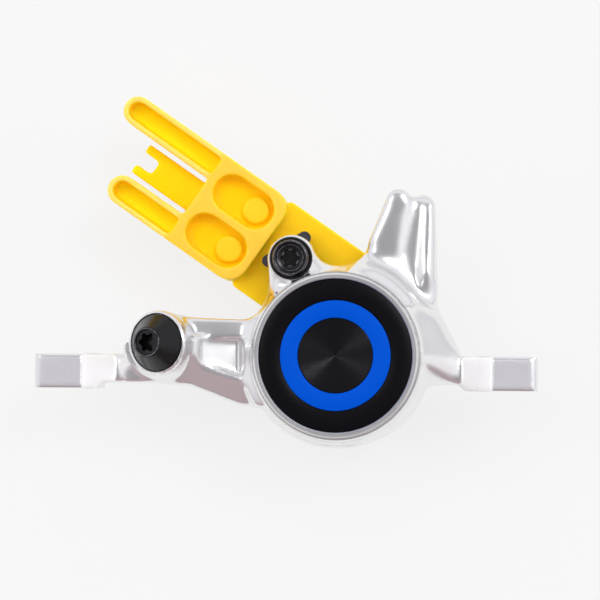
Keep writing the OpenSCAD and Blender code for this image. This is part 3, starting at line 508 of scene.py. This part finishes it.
def padSteel():
    material, tree, shader, coords = newMaterial("padSteel", steel["color"])
    speckle = noise(tree, coords, *steel["speckle"])
    colorFrom(tree, shader, tint(tree, speckle, steel["color"], steel["light"]))
    roughnessFrom(tree, shader, speckle, steel["roughness"])
    bump(tree, shader, speckle, *steel["bump"])
    return material


lining = {
    "color": (0.1, 0.08, 0.06), "fleck": (0.34, 0.27, 0.17), "ground": (0.075, 0.06, 0.05),
    "roughness": 0.85, "flecks": 1900, "fleckSize": (0.12, 0.4), "grain": (1400, 6), "bump": (0.4, 0.1)}


def padLining():
    material, tree, shader, coords = newMaterial("padLining", lining["color"], 0.0, lining["roughness"])
    flecks = tree.nodes.new("ShaderNodeTexVoronoi")
    flecks.inputs["Scale"].default_value = lining["flecks"]
    tree.links.new(coords, flecks.inputs["Vector"])
    distance = flecks.outputs["Distance"]
    colorFrom(tree, shader, tint(tree, distance, lining["fleck"], lining["ground"], *lining["fleckSize"]))
    bump(tree, shader, noise(tree, coords, *lining["grain"]), *lining["bump"])
    return material


copper = {
    "color": (0.72, 0.4, 0.25), "dark": (0.6, 0.32, 0.2), "light": (0.78, 0.46, 0.3), "roughness": 0.3,
    "haze": (900, 3)}


def washerCopper():
    material, tree, shader, coords = newMaterial("washerCopper", copper["color"], 1.0, copper["roughness"])
    haze = noise(tree, coords, *copper["haze"])
    colorFrom(tree, shader, tint(tree, haze, copper["dark"], copper["light"]))
    return material


finish = {
    "polished": polishedAluminium(), "satin": satinAluminium(), "blasted": blastedAluminium(),
    "cap": turnedBlack("turnedRim", anodised["rim"]), "disc": turnedBlack("turnedDisc", anodised["disc"]),
    "blue": blueAnodised(), "black": blackOxide("blackOxide", oxide["face"]),
    "wearAndHighlight": blackOxide("wearAndHighlightOxide", oxide["edge"]), "yellow": yellowPlastic(), "rubber": sealRubber(),
    "resin": pistonResin(), "nickel": magnetNickel(), "plate": padSteel(), "lining": padLining(),
    "copper": washerCopper()}
print("materials made:", len(finish))


# caliper body: the solid with its bores plugged is given a soft forged skin, then machined again

portPlace = {"at": (-31.4, 2.1, 15), "lean": 24}
portMatrix = Matrix.Translation(Vector(portPlace["at"]) * mm) @ Matrix.Rotation(
    math.radians(-portPlace["lean"]), 4, "Y")


def atPort(piece):
    piece.matrix_world = portMatrix
    settle(piece)
    return piece


bodyLook = {
    "voxel": 0.36, "axle": (-8.2, 17), "slots": (-45.6, 28.6), "shadeAngle": 30,
    "smoothing": 0.5, "softenTimes": 26, "collarTimes": 110, "neckTimes": 240, "hornTimes": 40,
    "crestRise": 0.9, "letOut": 0.14}

# round plugs are profiles of (radius, height) or a radius and two ends
plugSizes = {
    "drum": ((0, 6.2), (12.7, 6.2), (13.7, 12), (14.45, 17), (14.45, 20.8), (0, 20.8)),
    "back": ((0, -15.6), (12.6, -15.6), (12.6, -6.2), (0, -6.2)),
    "port": ((0, -9.6), (3.4, -9.6), (3.4, -2), (5.6, -2), (5.6, 0), (0, 0)),
    "axleRadius": 2.3, "axleFront": (6.1, 12), "axleBack": (-11, -6.1),
    "bleed": (2.7, (0, -15.7, -13), (0, -11.8, -13)),
    "slotHalf": 3.4, "slotY": (-5.9, 0), "slotZ": (4.6, 15.4),
    "feed": (0.95, (-27.8, 3.9, 7.8), (-10, 3.9, 12.4)),
    "cross": (0.95, (7.44, -11.03, -13.2), (7.44, -11.03, 13.2))}


def axleRod(name, radius, span, **settings):
    low, high = ((*bodyLook["axle"], z) for z in span)
    return rod(name, radius, low, high, **settings)


def plugBores(body):
    plugs = [
        turned("drumPlug", plugSizes["drum"]),
        turned("backPlug", plugSizes["back"]),
        axleRod("axlePlugFront", plugSizes["axleRadius"], plugSizes["axleFront"]),
        axleRod("axlePlugBack", plugSizes["axleRadius"], plugSizes["axleBack"]),
        atPort(turned("portPlug", plugSizes["port"])),
        rod("bleedPlug", *plugSizes["bleed"])]
    half, (yLow, yHigh), (zLow, zHigh) = plugSizes["slotHalf"], plugSizes["slotY"], plugSizes["slotZ"]
    for x in bodyLook["slots"]:
        plugs.append(block("slotPlug", (x - half, yLow, zLow), (x + half, yHigh, zHigh)))
    plugs.append(rod("feedPlug", *plugSizes["feed"]))
    plugs.append(rod("crossPlug", *plugSizes["cross"]))
    for plug in plugs:
        combine(body, plug, "UNION")


def ramp(value, low, high):
    share = min(max((value - low) / (high - low), 0), 1)
    return share * share * (3 - 2 * share)


forgedPlaces = {
    "ear": (-2.6, -1.6), "earHold": 0.94,
    "armStart": (15, 17), "armEnd": (30, 33), "armHeight": (8, 10), "armHold": 0.5,
    "hornFoot": (15, 18), "hornSide": (3, 5), "hornHold": 0.45,
    "gap": (5.2, 7), "gapHold": 0.85}


# 1 where the forging is soft, near 0 where it is machined
def forgedShare(place):
    x, y, z = place / mm
    left, right = bodyLook["slots"]
    start, full = forgedPlaces["ear"]
    ear = max(ramp(-x, start - left, full - left), ramp(x, right + start, right + full))
    arm = ramp(-x, *forgedPlaces["armStart"]) * (1 - ramp(-x, *forgedPlaces["armEnd"]))
    arm *= ramp(z, *forgedPlaces["armHeight"])
    horn = ramp(y, *forgedPlaces["hornFoot"]) * ramp(x, *forgedPlaces["hornSide"])
    gap = 1 - ramp(abs(z), *forgedPlaces["gap"])
    share = 1 - forgedPlaces["earHold"] * ear
    share *= 1 - forgedPlaces["armHold"] * arm
    share *= 1 - forgedPlaces["hornHold"] * horn
    share *= 1 - forgedPlaces["gapHold"] * gap
    return share


collarPlaces = {"inner": (14.9, 15.8), "outer": (19.5, 21.5), "height": (6, 8), "side": (4, 6)}


# 1 on the collar and the shoulder, which run into each other
def collarShare(place):
    x, y, z = place / mm
    out = math.hypot(x, y)
    share = ramp(out, *collarPlaces["inner"]) * (1 - ramp(out, *collarPlaces["outer"]))
    return share * ramp(z, *collarPlaces["height"]) * ramp(x, *collarPlaces["side"])


hornPlaces = {"foot": (14, 18), "side": (2, 4), "height": (5, 7)}


# 1 on the horn, whose lobes are evened in height alone
def hornShare(place):
    x, y, z = place / mm
    share = ramp(y, *hornPlaces["foot"]) * ramp(x, *hornPlaces["side"])
    return share * ramp(z, *hornPlaces["height"])


crestPlaces = {
    "middle": 14.7, "lean": 0.05, "width": (0.2, 2.2), "foot": (10, 15), "tip": (27, 28.5),
    "height": (7.4, 8.4)}


# 1 along the crest of the horn's right lobe
def crestShare(place):
    x, y, z = place / mm
    middle = crestPlaces["middle"] + crestPlaces["lean"] * y
    share = 1 - ramp(abs(x - middle), *crestPlaces["width"])
    share *= ramp(y, *crestPlaces["foot"]) * (1 - ramp(y, *crestPlaces["tip"]))
    return share * ramp(z, *crestPlaces["height"])


neckPlaces = {
    "middles": ((-11.3, 11.1), (-4.2, 15.2), (2.4, 16.8)), "reach": (2.2, 4.4), "rim": (14.7, 15.2),
    "height": (4.5, 6.5)}


# 1 where the pad axle's boss and the horn run into the housing
def neckShare(place):
    x, y, z = place / mm
    near = min(math.hypot(x - neckX, y - neckY) for neckX, neckY in neckPlaces["middles"])
    share = (1 - ramp(near, *neckPlaces["reach"])) * ramp(math.hypot(x, y), *neckPlaces["rim"])
    return share * ramp(z, *neckPlaces["height"])


def smooth(body, group, times, **settings):
    applyModifier(body, "SMOOTH", factor=bodyLook["smoothing"], iterations=times, vertex_group=group,
                  **settings)


def raiseSkin(body, group, height, **settings):
    applyModifier(body, "DISPLACE", strength=height * mm, mid_level=0, vertex_group=group, **settings)


# smoothing draws a skin in, so it is let out again where the forging is soft
def soften(body):
    shares = {
        "forged": forgedShare, "collar": collarShare, "horn": hornShare, "crest": crestShare,
        "neck": neckShare}
    for name, share in shares.items():
        body.vertex_groups.new(name=name)
        group = body.vertex_groups[name]
        for vertex in body.data.vertices:
            group.add([vertex.index], share(vertex.co), "REPLACE")
    smooth(body, "forged", bodyLook["softenTimes"])
    smooth(body, "collar", bodyLook["collarTimes"])
    smooth(body, "neck", bodyLook["neckTimes"])
    raiseSkin(body, "crest", bodyLook["crestRise"], direction="Z")
    smooth(body, "horn", bodyLook["hornTimes"], use_x=False, use_y=False)
    raiseSkin(body, "forged", bodyLook["letOut"])
    keepInside(body, "caliper_body")


# the bore runs from the gap's side: its wall, the seal's groove and the chamber behind the piston
cutSizes = {
    "rim": 14.2, "rimTop": 20.4, "rimFoot": 17.6, "rimBevel": 0.3, "rimReach": 3, "rimSteps": 160,
    "cap": 13.25, "capFoot": 18.2, "capBevel": 0.15, "capSeal": 12.35, "rimInset": 1, "above": 2,
    "bore": ((0, 4.6), (11, 4.6), (11, 6.9), (12.3, 6.9), (12.3, 8.9), (11, 8.9), (11, 10.7), (11.5, 10.7),
             (11.5, 15.2)),
    "boreDepth": 15.2, "boreAbove": 1, "backSteps": 128,
    "axle": 2.05, "axleSpan": (-13, 14), "axleSeat": 3.85, "axleSeatSpan": (12, 16), "axleSeatSides": 96,
    "portRim": ((5.6, -1), (5.6, -0.1), (5.5, 0), (4.6, 0), (4.6, 3), (6.4, 3), (6.4, -1)),
    "port": ((0, -9), (3.05, -9), (3.05, -1.2), (4.95, -1.2), (4.95, -0.2), (5.2, 0.05), (5.2, 4), (0, 4)),
    "bleed": (2.55, (0, -18, -13), (0, -12.5, -13)),
    "slotHalf": 3.2, "slotY": (-7.5, 1.5), "slotZ": (8.2, 11.8)}


def rimProfile():
    rim, top, foot = cutSizes["rim"], cutSizes["rimTop"], cutSizes["rimFoot"]
    inner, outer = cutSizes["cap"] - cutSizes["rimInset"], rim + cutSizes["rimReach"]
    bevel, above = cutSizes["rimBevel"], top + cutSizes["above"]
    return [
        (rim, foot), (rim, top - bevel), (rim - bevel, top), (inner, top), (inner, above), (outer, above),
        (outer, foot)]


def boreProfile():
    cap, top, foot, bevel = cutSizes["cap"], cutSizes["rimTop"], cutSizes["capFoot"], cutSizes["capBevel"]
    seal, depth, above = cutSizes["capSeal"], cutSizes["boreDepth"], top + cutSizes["boreAbove"]
    return [
        *cutSizes["bore"], (seal, depth), (seal, foot), (cap, foot), (cap, top - bevel), (cap + bevel, top),
        (cap + bevel, above), (0, above)]


def backBoreProfile():
    wall = [(radius, -height) for radius, height in reversed(cutSizes["bore"])]
    return [(0, -cutSizes["boreDepth"]), *wall]


def slotTool(x):
    half, (yLow, yHigh), heights = cutSizes["slotHalf"], cutSizes["slotY"], cutSizes["slotZ"]
    tool = block("slotTool", (x - half, yLow, heights[0]), (x + half, yHigh, heights[1]))
    for z in heights:
        combine(tool, rod("slotEnd", half, (x, yLow, z), (x, yHigh, z)), "UNION")
    return tool


def machine(body):
    tools = [
        turned("rimTool", rimProfile(), ring=True, steps=cutSizes["rimSteps"]),
        turned("boreTool", boreProfile(), steps=cutSizes["rimSteps"]),
        turned("backBoreTool", backBoreProfile(), steps=cutSizes["backSteps"]),
        axleRod("axleTool", cutSizes["axle"], cutSizes["axleSpan"]),
        axleRod("axleSeatTool", cutSizes["axleSeat"], cutSizes["axleSeatSpan"],
                sides=cutSizes["axleSeatSides"]),
        atPort(turned("portRimTool", cutSizes["portRim"], ring=True)),
        atPort(turned("portTool", cutSizes["port"])),
        rod("bleedTool", *cutSizes["bleed"])]
    tools.extend(slotTool(x) for x in bodyLook["slots"])
    for tool in tools:
        combine(body, tool)
    clean(body)


# tilts are parts of a face's normal
facePlaces = {
    "ear": 3.9, "earFront": 18.2, "frontTilt": 0.97, "seatHeight": -0.3, "seatTilt": 0.9,
    "scoop": (1.7, 7.2), "scoopFoot": 10, "scoopSide": 0.3, "scoopTilt": 0.2}


def paintBody(body):
    looks = ("polished", "satin", "blasted")
    paint(body, *looks)
    left, right = bodyLook["slots"]
    near, far = facePlaces["scoop"]
    for face in body.data.polygons:
        x, y, z = face.center / mm
        normal = face.normal
        onEar = x < left + facePlaces["ear"] or x > right - facePlaces["ear"]
        front = normal.z > facePlaces["frontTilt"] and z > facePlaces["earFront"]
        seat = normal.y > facePlaces["seatTilt"] and y > facePlaces["seatHeight"]
        if onEar and (front or seat):
            face.material_index = looks.index("satin")
        leftScoop = near < x - left < far and normal.x > facePlaces["scoopSide"]
        rightScoop = near < right - x < far and normal.x < -facePlaces["scoopSide"]
        raised = z > facePlaces["scoopFoot"] and normal.z > facePlaces["scoopTilt"]
        if (leftScoop or rightScoop) and raised:
            face.material_index = looks.index("blasted")


def caliperBody():
    body = copyOfNode("caliper_body", "polishedBody")
    plugBores(body)
    print("body plugged:", len(body.data.vertices), "points")
    applyModifier(body, "REMESH", mode="VOXEL", voxel_size=bodyLook["voxel"] * mm)
    print("body skinned:", len(body.data.vertices), "points")
    soften(body)
    machine(body)
    print("body machined:", len(body.data.polygons), "faces")
    paintBody(body)
    shadeByAngle(body, bodyLook["shadeAngle"])
    finishPiece(body, "caliper", "polished_aluminium", "caliper_body")


caliperBody()


# bore cap with its groove for the ring, and the ring

capLook = {
    "radius": 13.2, "front": 20.0, "flange": 18.2, "waist": 12.3, "back": 15.2,
    "sealGroove": 10.75, "sealSpan": (15.9, 17.5), "ringGroove": (9.53, 6.47), "ringFloor": 19,
    "disc": 6.3, "dish": 0.65, "pip": 0.15, "pipDepth": 0.12, "discReach": 6.4, "discDepth": 0.8,
    "bevel": 0.12, "steps": 160}


def boreCap():
    radius, front, flange, waist = capLook["radius"], capLook["front"], capLook["flange"], capLook["waist"]
    back, groove, (grooveLow, grooveHigh) = capLook["back"], capLook["sealGroove"], capLook["sealSpan"]
    (outer, inner), ringFloor, bottom = capLook["ringGroove"], capLook["ringFloor"], front - capLook["dish"]
    cap = turned("blackCap", [
        (0, back), (waist, back), (waist, grooveLow), (groove, grooveLow), (groove, grooveHigh),
        (waist, grooveHigh), (waist, flange), (radius, flange), (radius, front), (outer, front),
        (outer, ringFloor), (inner, ringFloor), (inner, front), (capLook["disc"], front),
        (capLook["pip"], bottom), (0, bottom - capLook["pipDepth"])], steps=capLook["steps"])
    bevelEdges(cap, capLook["bevel"])
    looks = ("cap", "disc")
    paint(cap, *looks)
    for face in cap.data.polygons:
        x, y, z = face.center / mm
        if z > front - capLook["discDepth"] and math.hypot(x, y) < capLook["discReach"]:
            face.material_index = looks.index("disc")
    shadeByAngle(cap)
    finishPiece(cap, "caliper", "black_anodised", "bore_cap")


ringLook = {"inner": 6.5, "outer": 9.5, "back": 19, "front": 20.2, "bevel": 0.1, "steps": 160}


def capRing():
    inner, outer, back, front = ringLook["inner"], ringLook["outer"], ringLook["back"], ringLook["front"]
    profile = [(inner, back), (outer, back), (outer, front), (inner, front)]
    ring = turned("blueRing", profile, ring=True, steps=ringLook["steps"])
    bevelEdges(ring, ringLook["bevel"])
    paint(ring, "blue")
    shadeByAngle(ring)
    finishPiece(ring, "caliper", "blue_anodised", "cap_ring")


boreCap()
capRing()
print("cap and ring made")


# screws: turned, then the star recess is cut

starLook = {"lobes": 6, "lobeShare": 0.24, "lobeSides": 24, "above": 1}


def starTool(radius, top, depth):
    lobe = radius * starLook["lobeShare"]
    low, high = top - depth, top + starLook["above"]
    tool = rod("starTool", radius - lobe, (0, 0, low), (0, 0, high))
    for i in range(starLook["lobes"]):
        turn = math.radians(360 / starLook["lobes"] * i)
        x, y = (radius - lobe) * math.cos(turn), (radius - lobe) * math.sin(turn)
        combine(tool, rod("starLobe", lobe, (x, y, low), (x, y, high), starLook["lobeSides"]), "UNION")
    return tool


# the thin bevels of a screw, given as (least radius, most radius, least height), take a brighter metallic
# finish: partly rubbed wear, partly a painted highlight on their rings
def paintScrew(screw, axis, edges):
    looks = ("black", "wearAndHighlight")
    paint(screw, *looks)
    for face in screw.data.polygons:
        x, y, z = (axis.inverted() @ face.center) / mm
        out = math.hypot(x, y)
        if any(low < out < high and z > foot for low, high, foot in edges):
            face.material_index = looks.index("wearAndHighlight")
    shadeByAngle(screw)


# the tail is (radius, height), the flange (out from its radius, above the seat), the head (out from its
# radius, below the top) and the mouth (radius, below the top); the rings of wear and painted highlight are
# (least radius, most radius, least height)
axleLook = {
    "tail": ((0, -11), (1.7, -11), (2, -10.7), (2, -8.85), (1.05, -8.85), (1.05, -7.85), (2, -7.85)),
    "shank": 2, "seat": 12, "flange": 3.75, "flangeEdge": ((0, 0), (0, 0.65), (-0.25, 0.9)),
    "head": 3.15, "headFoot": ((0.1, 0.9), (0, 0.8)), "top": 15.2,
    "headEdge": ((0, 0.45), (-0.12, 0.12), (-0.2, 0.04), (-0.35, 0)),
    "mouth": ((2.5, 0.1), (2.36, 0.4), (2.28, 0.46), (2.2, 0.5), (1.98, 0.52), (1.5, 0.78), (1.3, 0.9),
              (0, 0.9)),
    "star": 1.75, "depth": 1.7, "wearAndHighlight": ((2.82, 3.0, 15), (2.2, 2.32, 14.6), (1.32, 1.46, 14.2))}


def padAxle():
    seat, top, flange, head = axleLook["seat"], axleLook["top"], axleLook["flange"], axleLook["head"]
    screw = turned("padAxleScrew", [
        *axleLook["tail"], (axleLook["shank"], seat),
        *((flange + out, seat + up) for out, up in axleLook["flangeEdge"]),
        *((head + out, seat + up) for out, up in axleLook["headFoot"]),
        *((head + out, top - down) for out, down in axleLook["headEdge"]),
        *((radius, top - down) for radius, down in axleLook["mouth"])])
    combine(screw, starTool(axleLook["star"], top, axleLook["depth"]))
    clean(screw)
    place = Matrix.Translation(Vector((*bodyLook["axle"], 0)) * mm)
    screw.matrix_world = place
    settle(screw)
    paintScrew(screw, place, axleLook["wearAndHighlight"])
    finishPiece(screw, "axle", "black_steel", "pad_axle")


# the nose is (out from the tip's radius, below the top), and the foot's edge (out from the foot, height);
# the tip's ring of wear and painted highlight is (least radius, most radius, least height)
plugLook = {
    "tail": ((0, -8), (2.7, -8), (3, -7.7), (3, -0.6)), "foot": 4.9,
    "footEdge": ((0, -0.6), (0, 0.05), (-0.1, 0.2)), "tip": 2.6, "top": 3.4,
    "nose": ((0.14, 0.3), (0.04, 0.1), (-0.1, 0), (-0.28, 0), (-0.42, 0.1), (-0.5, 0.3)),
    "floor": 0.36, "star": 1.75, "depth": 2.2, "wearAndHighlight": ((2.35, 2.56, 3.32),)}


def portPlug():
    foot, tip, top = plugLook["foot"], plugLook["tip"], plugLook["top"]
    plug = turned("portPlugScrew", [
        *plugLook["tail"], *((foot + out, height) for out, height in plugLook["footEdge"]),
        *((tip + out, top - down) for out, down in plugLook["nose"]), (0, top - plugLook["floor"])])
    combine(plug, starTool(plugLook["star"], top, plugLook["depth"]))
    clean(plug)
    atPort(plug)
    paintScrew(plug, portMatrix, plugLook["wearAndHighlight"])
    finishPiece(plug, "plug", "black_steel", "port_plug")


padAxle()
portPlug()
print("screws made")


# pad spacer: laid straight for an even skin, softened like a moulding, and turned back

spacerLook = {
    "turn": 34.8, "about": (-8.2, 17), "voxel": 0.3, "smoothing": 0.5, "softenTimes": 9, "shadeAngle": 60}


def padSpacer():
    spacer = copyOfNode("pad_spacer", "yellowSpacer")
    pivot = Matrix.Translation(Vector((*spacerLook["about"], 0)) * mm)
    lay = pivot @ Matrix.Rotation(math.radians(spacerLook["turn"]), 4, "Z") @ pivot.inverted()
    spacer.matrix_world = lay
    settle(spacer)
    applyModifier(spacer, "REMESH", mode="VOXEL", voxel_size=spacerLook["voxel"] * mm)
    applyModifier(spacer, "SMOOTH", factor=spacerLook["smoothing"], iterations=spacerLook["softenTimes"])
    spacer.matrix_world = lay.inverted()
    settle(spacer)
    keepInside(spacer, "pad_spacer")
    paint(spacer, "yellow")
    shadeByAngle(spacer, spacerLook["shadeAngle"])
    print("spacer made:", len(spacer.data.polygons), "faces")
    finishPiece(spacer, "spacer", "yellow_plastic", "pad_spacer")


padSpacer()


# solids that keep their shape take a finish

keptNodes = {
    "cap_seal": "rubber", "outboard_piston": "resin", "outboard_magnet": "nickel",
    "outboard_piston_seal": "rubber", "outboard_plate": "plate", "outboard_lining": "lining",
    "inboard_piston": "resin", "inboard_magnet": "nickel", "inboard_piston_seal": "rubber",
    "inboard_plate": "plate", "inboard_lining": "lining", "axle_seal": "rubber", "port_washer": "copper",
    "bleed_screw": "black", "bleed_seal": "rubber"}
for nodeName, look in keptNodes.items():
    paint(nodes[nodeName], look)
print("kept solids painted:", len(keptNodes))


# camera at the photograph's angle, its clip in metres

cameraLook = {
    "at": (21.8, -5.4, 514.8), "aim": (-6.13, 9.5, 20), "roll": 0.36, "lens": 173.25, "sensor": 36,
    "clip": (0.01, 20)}


def camera():
    data = bpy.data.cameras.new("studioCamera")
    data.lens = cameraLook["lens"]
    data.sensor_width = cameraLook["sensor"]
    data.clip_start, data.clip_end = cameraLook["clip"]
    stand = bpy.data.objects.new("studioCamera", data)
    bpy.context.scene.collection.objects.link(stand)
    at, aim = Vector(cameraLook["at"]) * mm, Vector(cameraLook["aim"]) * mm
    back = (at - aim).normalized()
    roll = math.radians(cameraLook["roll"])
    right = Vector((math.cos(roll), math.sin(roll), 0))
    right = (right - back * right.dot(back)).normalized()
    up = back.cross(right)
    turn = Matrix((right, up, back)).transposed().to_4x4()
    stand.matrix_world = Matrix.Translation(at) @ turn
    bpy.context.scene.camera = stand


camera()


# pale floor, soft dome and three soft lamps

# the size in metres, the drop below the part in millimetres
stageLook = {"floor": 0.9, "roughness": 0.9, "white": 0.9, "showWhite": 0.85, "size": 3.0, "drop": 0.02}


# 1 for a ray that looks, straight or by a reflection, and 0 for one that gathers light
def looking(tree):
    path = tree.nodes.new("ShaderNodeLightPath").outputs
    glossy = calculated(tree, "MAXIMUM", path["Is Camera Ray"], path["Is Glossy Ray"])
    return calculated(tree, "MAXIMUM", glossy, path["Is Transmission Ray"])


def floor():
    bpy.ops.object.select_all(action="DESELECT")
    low = cadBox[0][2] - stageLook["drop"] * mm
    bpy.ops.mesh.primitive_plane_add(size=stageLook["size"], location=(0, 0, low))
    plane = bpy.context.object
    plane.name = "paleFloor"
    settle(plane)
    grey = (stageLook["floor"],) * 3
    material, tree, shader = newMaterial("paleFloor", grey, 0.0, stageLook["roughness"])[:3]
    shader.inputs["Specular IOR Level"].default_value = 0.0
    glow = tree.nodes.new("ShaderNodeEmission")
    glow.inputs["Color"].default_value = (stageLook["white"],) * 3 + (1,)
    mix = tree.nodes.new("ShaderNodeMixShader")
    setSocket(tree, mix.inputs["Fac"], calculated(tree, "MULTIPLY", looking(tree), stageLook["showWhite"]))
    tree.links.new(shader.outputs["BSDF"], mix.inputs[1])
    tree.links.new(glow.outputs["Emission"], mix.inputs[2])
    tree.links.new(mix.outputs["Shader"], tree.nodes["Material Output"].inputs["Surface"])
    plane.data.materials.append(material)


# bands are (height, level), and a glint is its direction, its level and the cosines of its edge and middle
domeLook = {
    "bands": ((0.0, 0.62), (0.12, 0.7), (0.3, 0.9), (0.64, 0.88), (0.87, 0.43), (1.0, 0.33)), "blue": 1.06,
    "near": (0.55, 0.44, 0.44), "nearSpan": (-0.75, -0.2),
    "glints": (
        ((0.38, 0.29, 0.88), 0.5, 0.95, 0.998), ((0.38, 0.29, 0.88), 14, 0.99, 0.9985),
        ((0.56, 0.02, 0.83), 0.4, 0.95, 0.985), ((-0.45, 0.2, 0.87), 0.35, 0.95, 0.998),
        ((-0.45, 0.2, 0.87), 4, 0.99, 0.9985))}


# a soft round light added to the dome's colour
def addGlint(tree, way, color, toward, level, edge, middle):
    share = reaching(tree, way, Vector(toward).normalized())
    share = spread(tree, share, 0, 1, edge, middle, "SMOOTHSTEP")
    return mixed(tree, share, color, (level, level, level, 1), "ADD")


# grey low down and overhead, white between, and dim and warm on the side below the picture
def dome():
    world = bpy.data.worlds.new("softDome")
    bpy.context.scene.world = world
    world.use_nodes = True
    tree = world.node_tree
    way = tree.nodes.new("ShaderNodeTexCoord").outputs["Generated"]
    parts = tree.nodes.new("ShaderNodeSeparateXYZ")
    tree.links.new(way, parts.inputs["Vector"])
    stops = [(height, (level, level, level * domeLook["blue"])) for height, level in domeLook["bands"]]
    heights = bands(tree, parts.outputs["Z"], stops, "EASE")
    depth = spread(tree, parts.outputs["Y"], 0, 1, *domeLook["nearSpan"], "SMOOTHSTEP")
    near = tint(tree, depth, domeLook["near"], (1, 1, 1), 0, 1)
    color = mixed(tree, 1, heights, near, "MULTIPLY")
    for glint in domeLook["glints"]:
        color = addGlint(tree, way, color, *glint)
    tree.links.new(color, tree.nodes["Background"].inputs["Color"])


# places and sizes in metres, power in watts
lampLook = {
    "topSoftbox": {"at": (-0.1, 0.2, 0.9), "size": 0.7, "power": 3.7},
    "leftSoftbox": {"at": (-0.8, -0.1, 0.35), "size": 0.5, "power": 1.2},
    "rightSoftbox": {"at": (0.8, -0.1, 0.35), "size": 0.5, "power": 1.2}}


# a square lamp that reflections don't show
def lamp(name, at, size, power):
    data = bpy.data.lights.new(name, "AREA")
    data.shape = "SQUARE"
    data.size = size
    data.energy = power
    stand = bpy.data.objects.new(name, data)
    bpy.context.scene.collection.objects.link(stand)
    turn = (-Vector(at)).to_track_quat("-Z", "Y").to_matrix().to_4x4()
    stand.matrix_world = Matrix.Translation(at) @ turn
    stand.visible_glossy = False


floor()
dome()
for lampName, look in lampLook.items():
    lamp(lampName, **look)
bpy.context.scene.view_settings.view_transform = "Standard"
print("camera and light set")
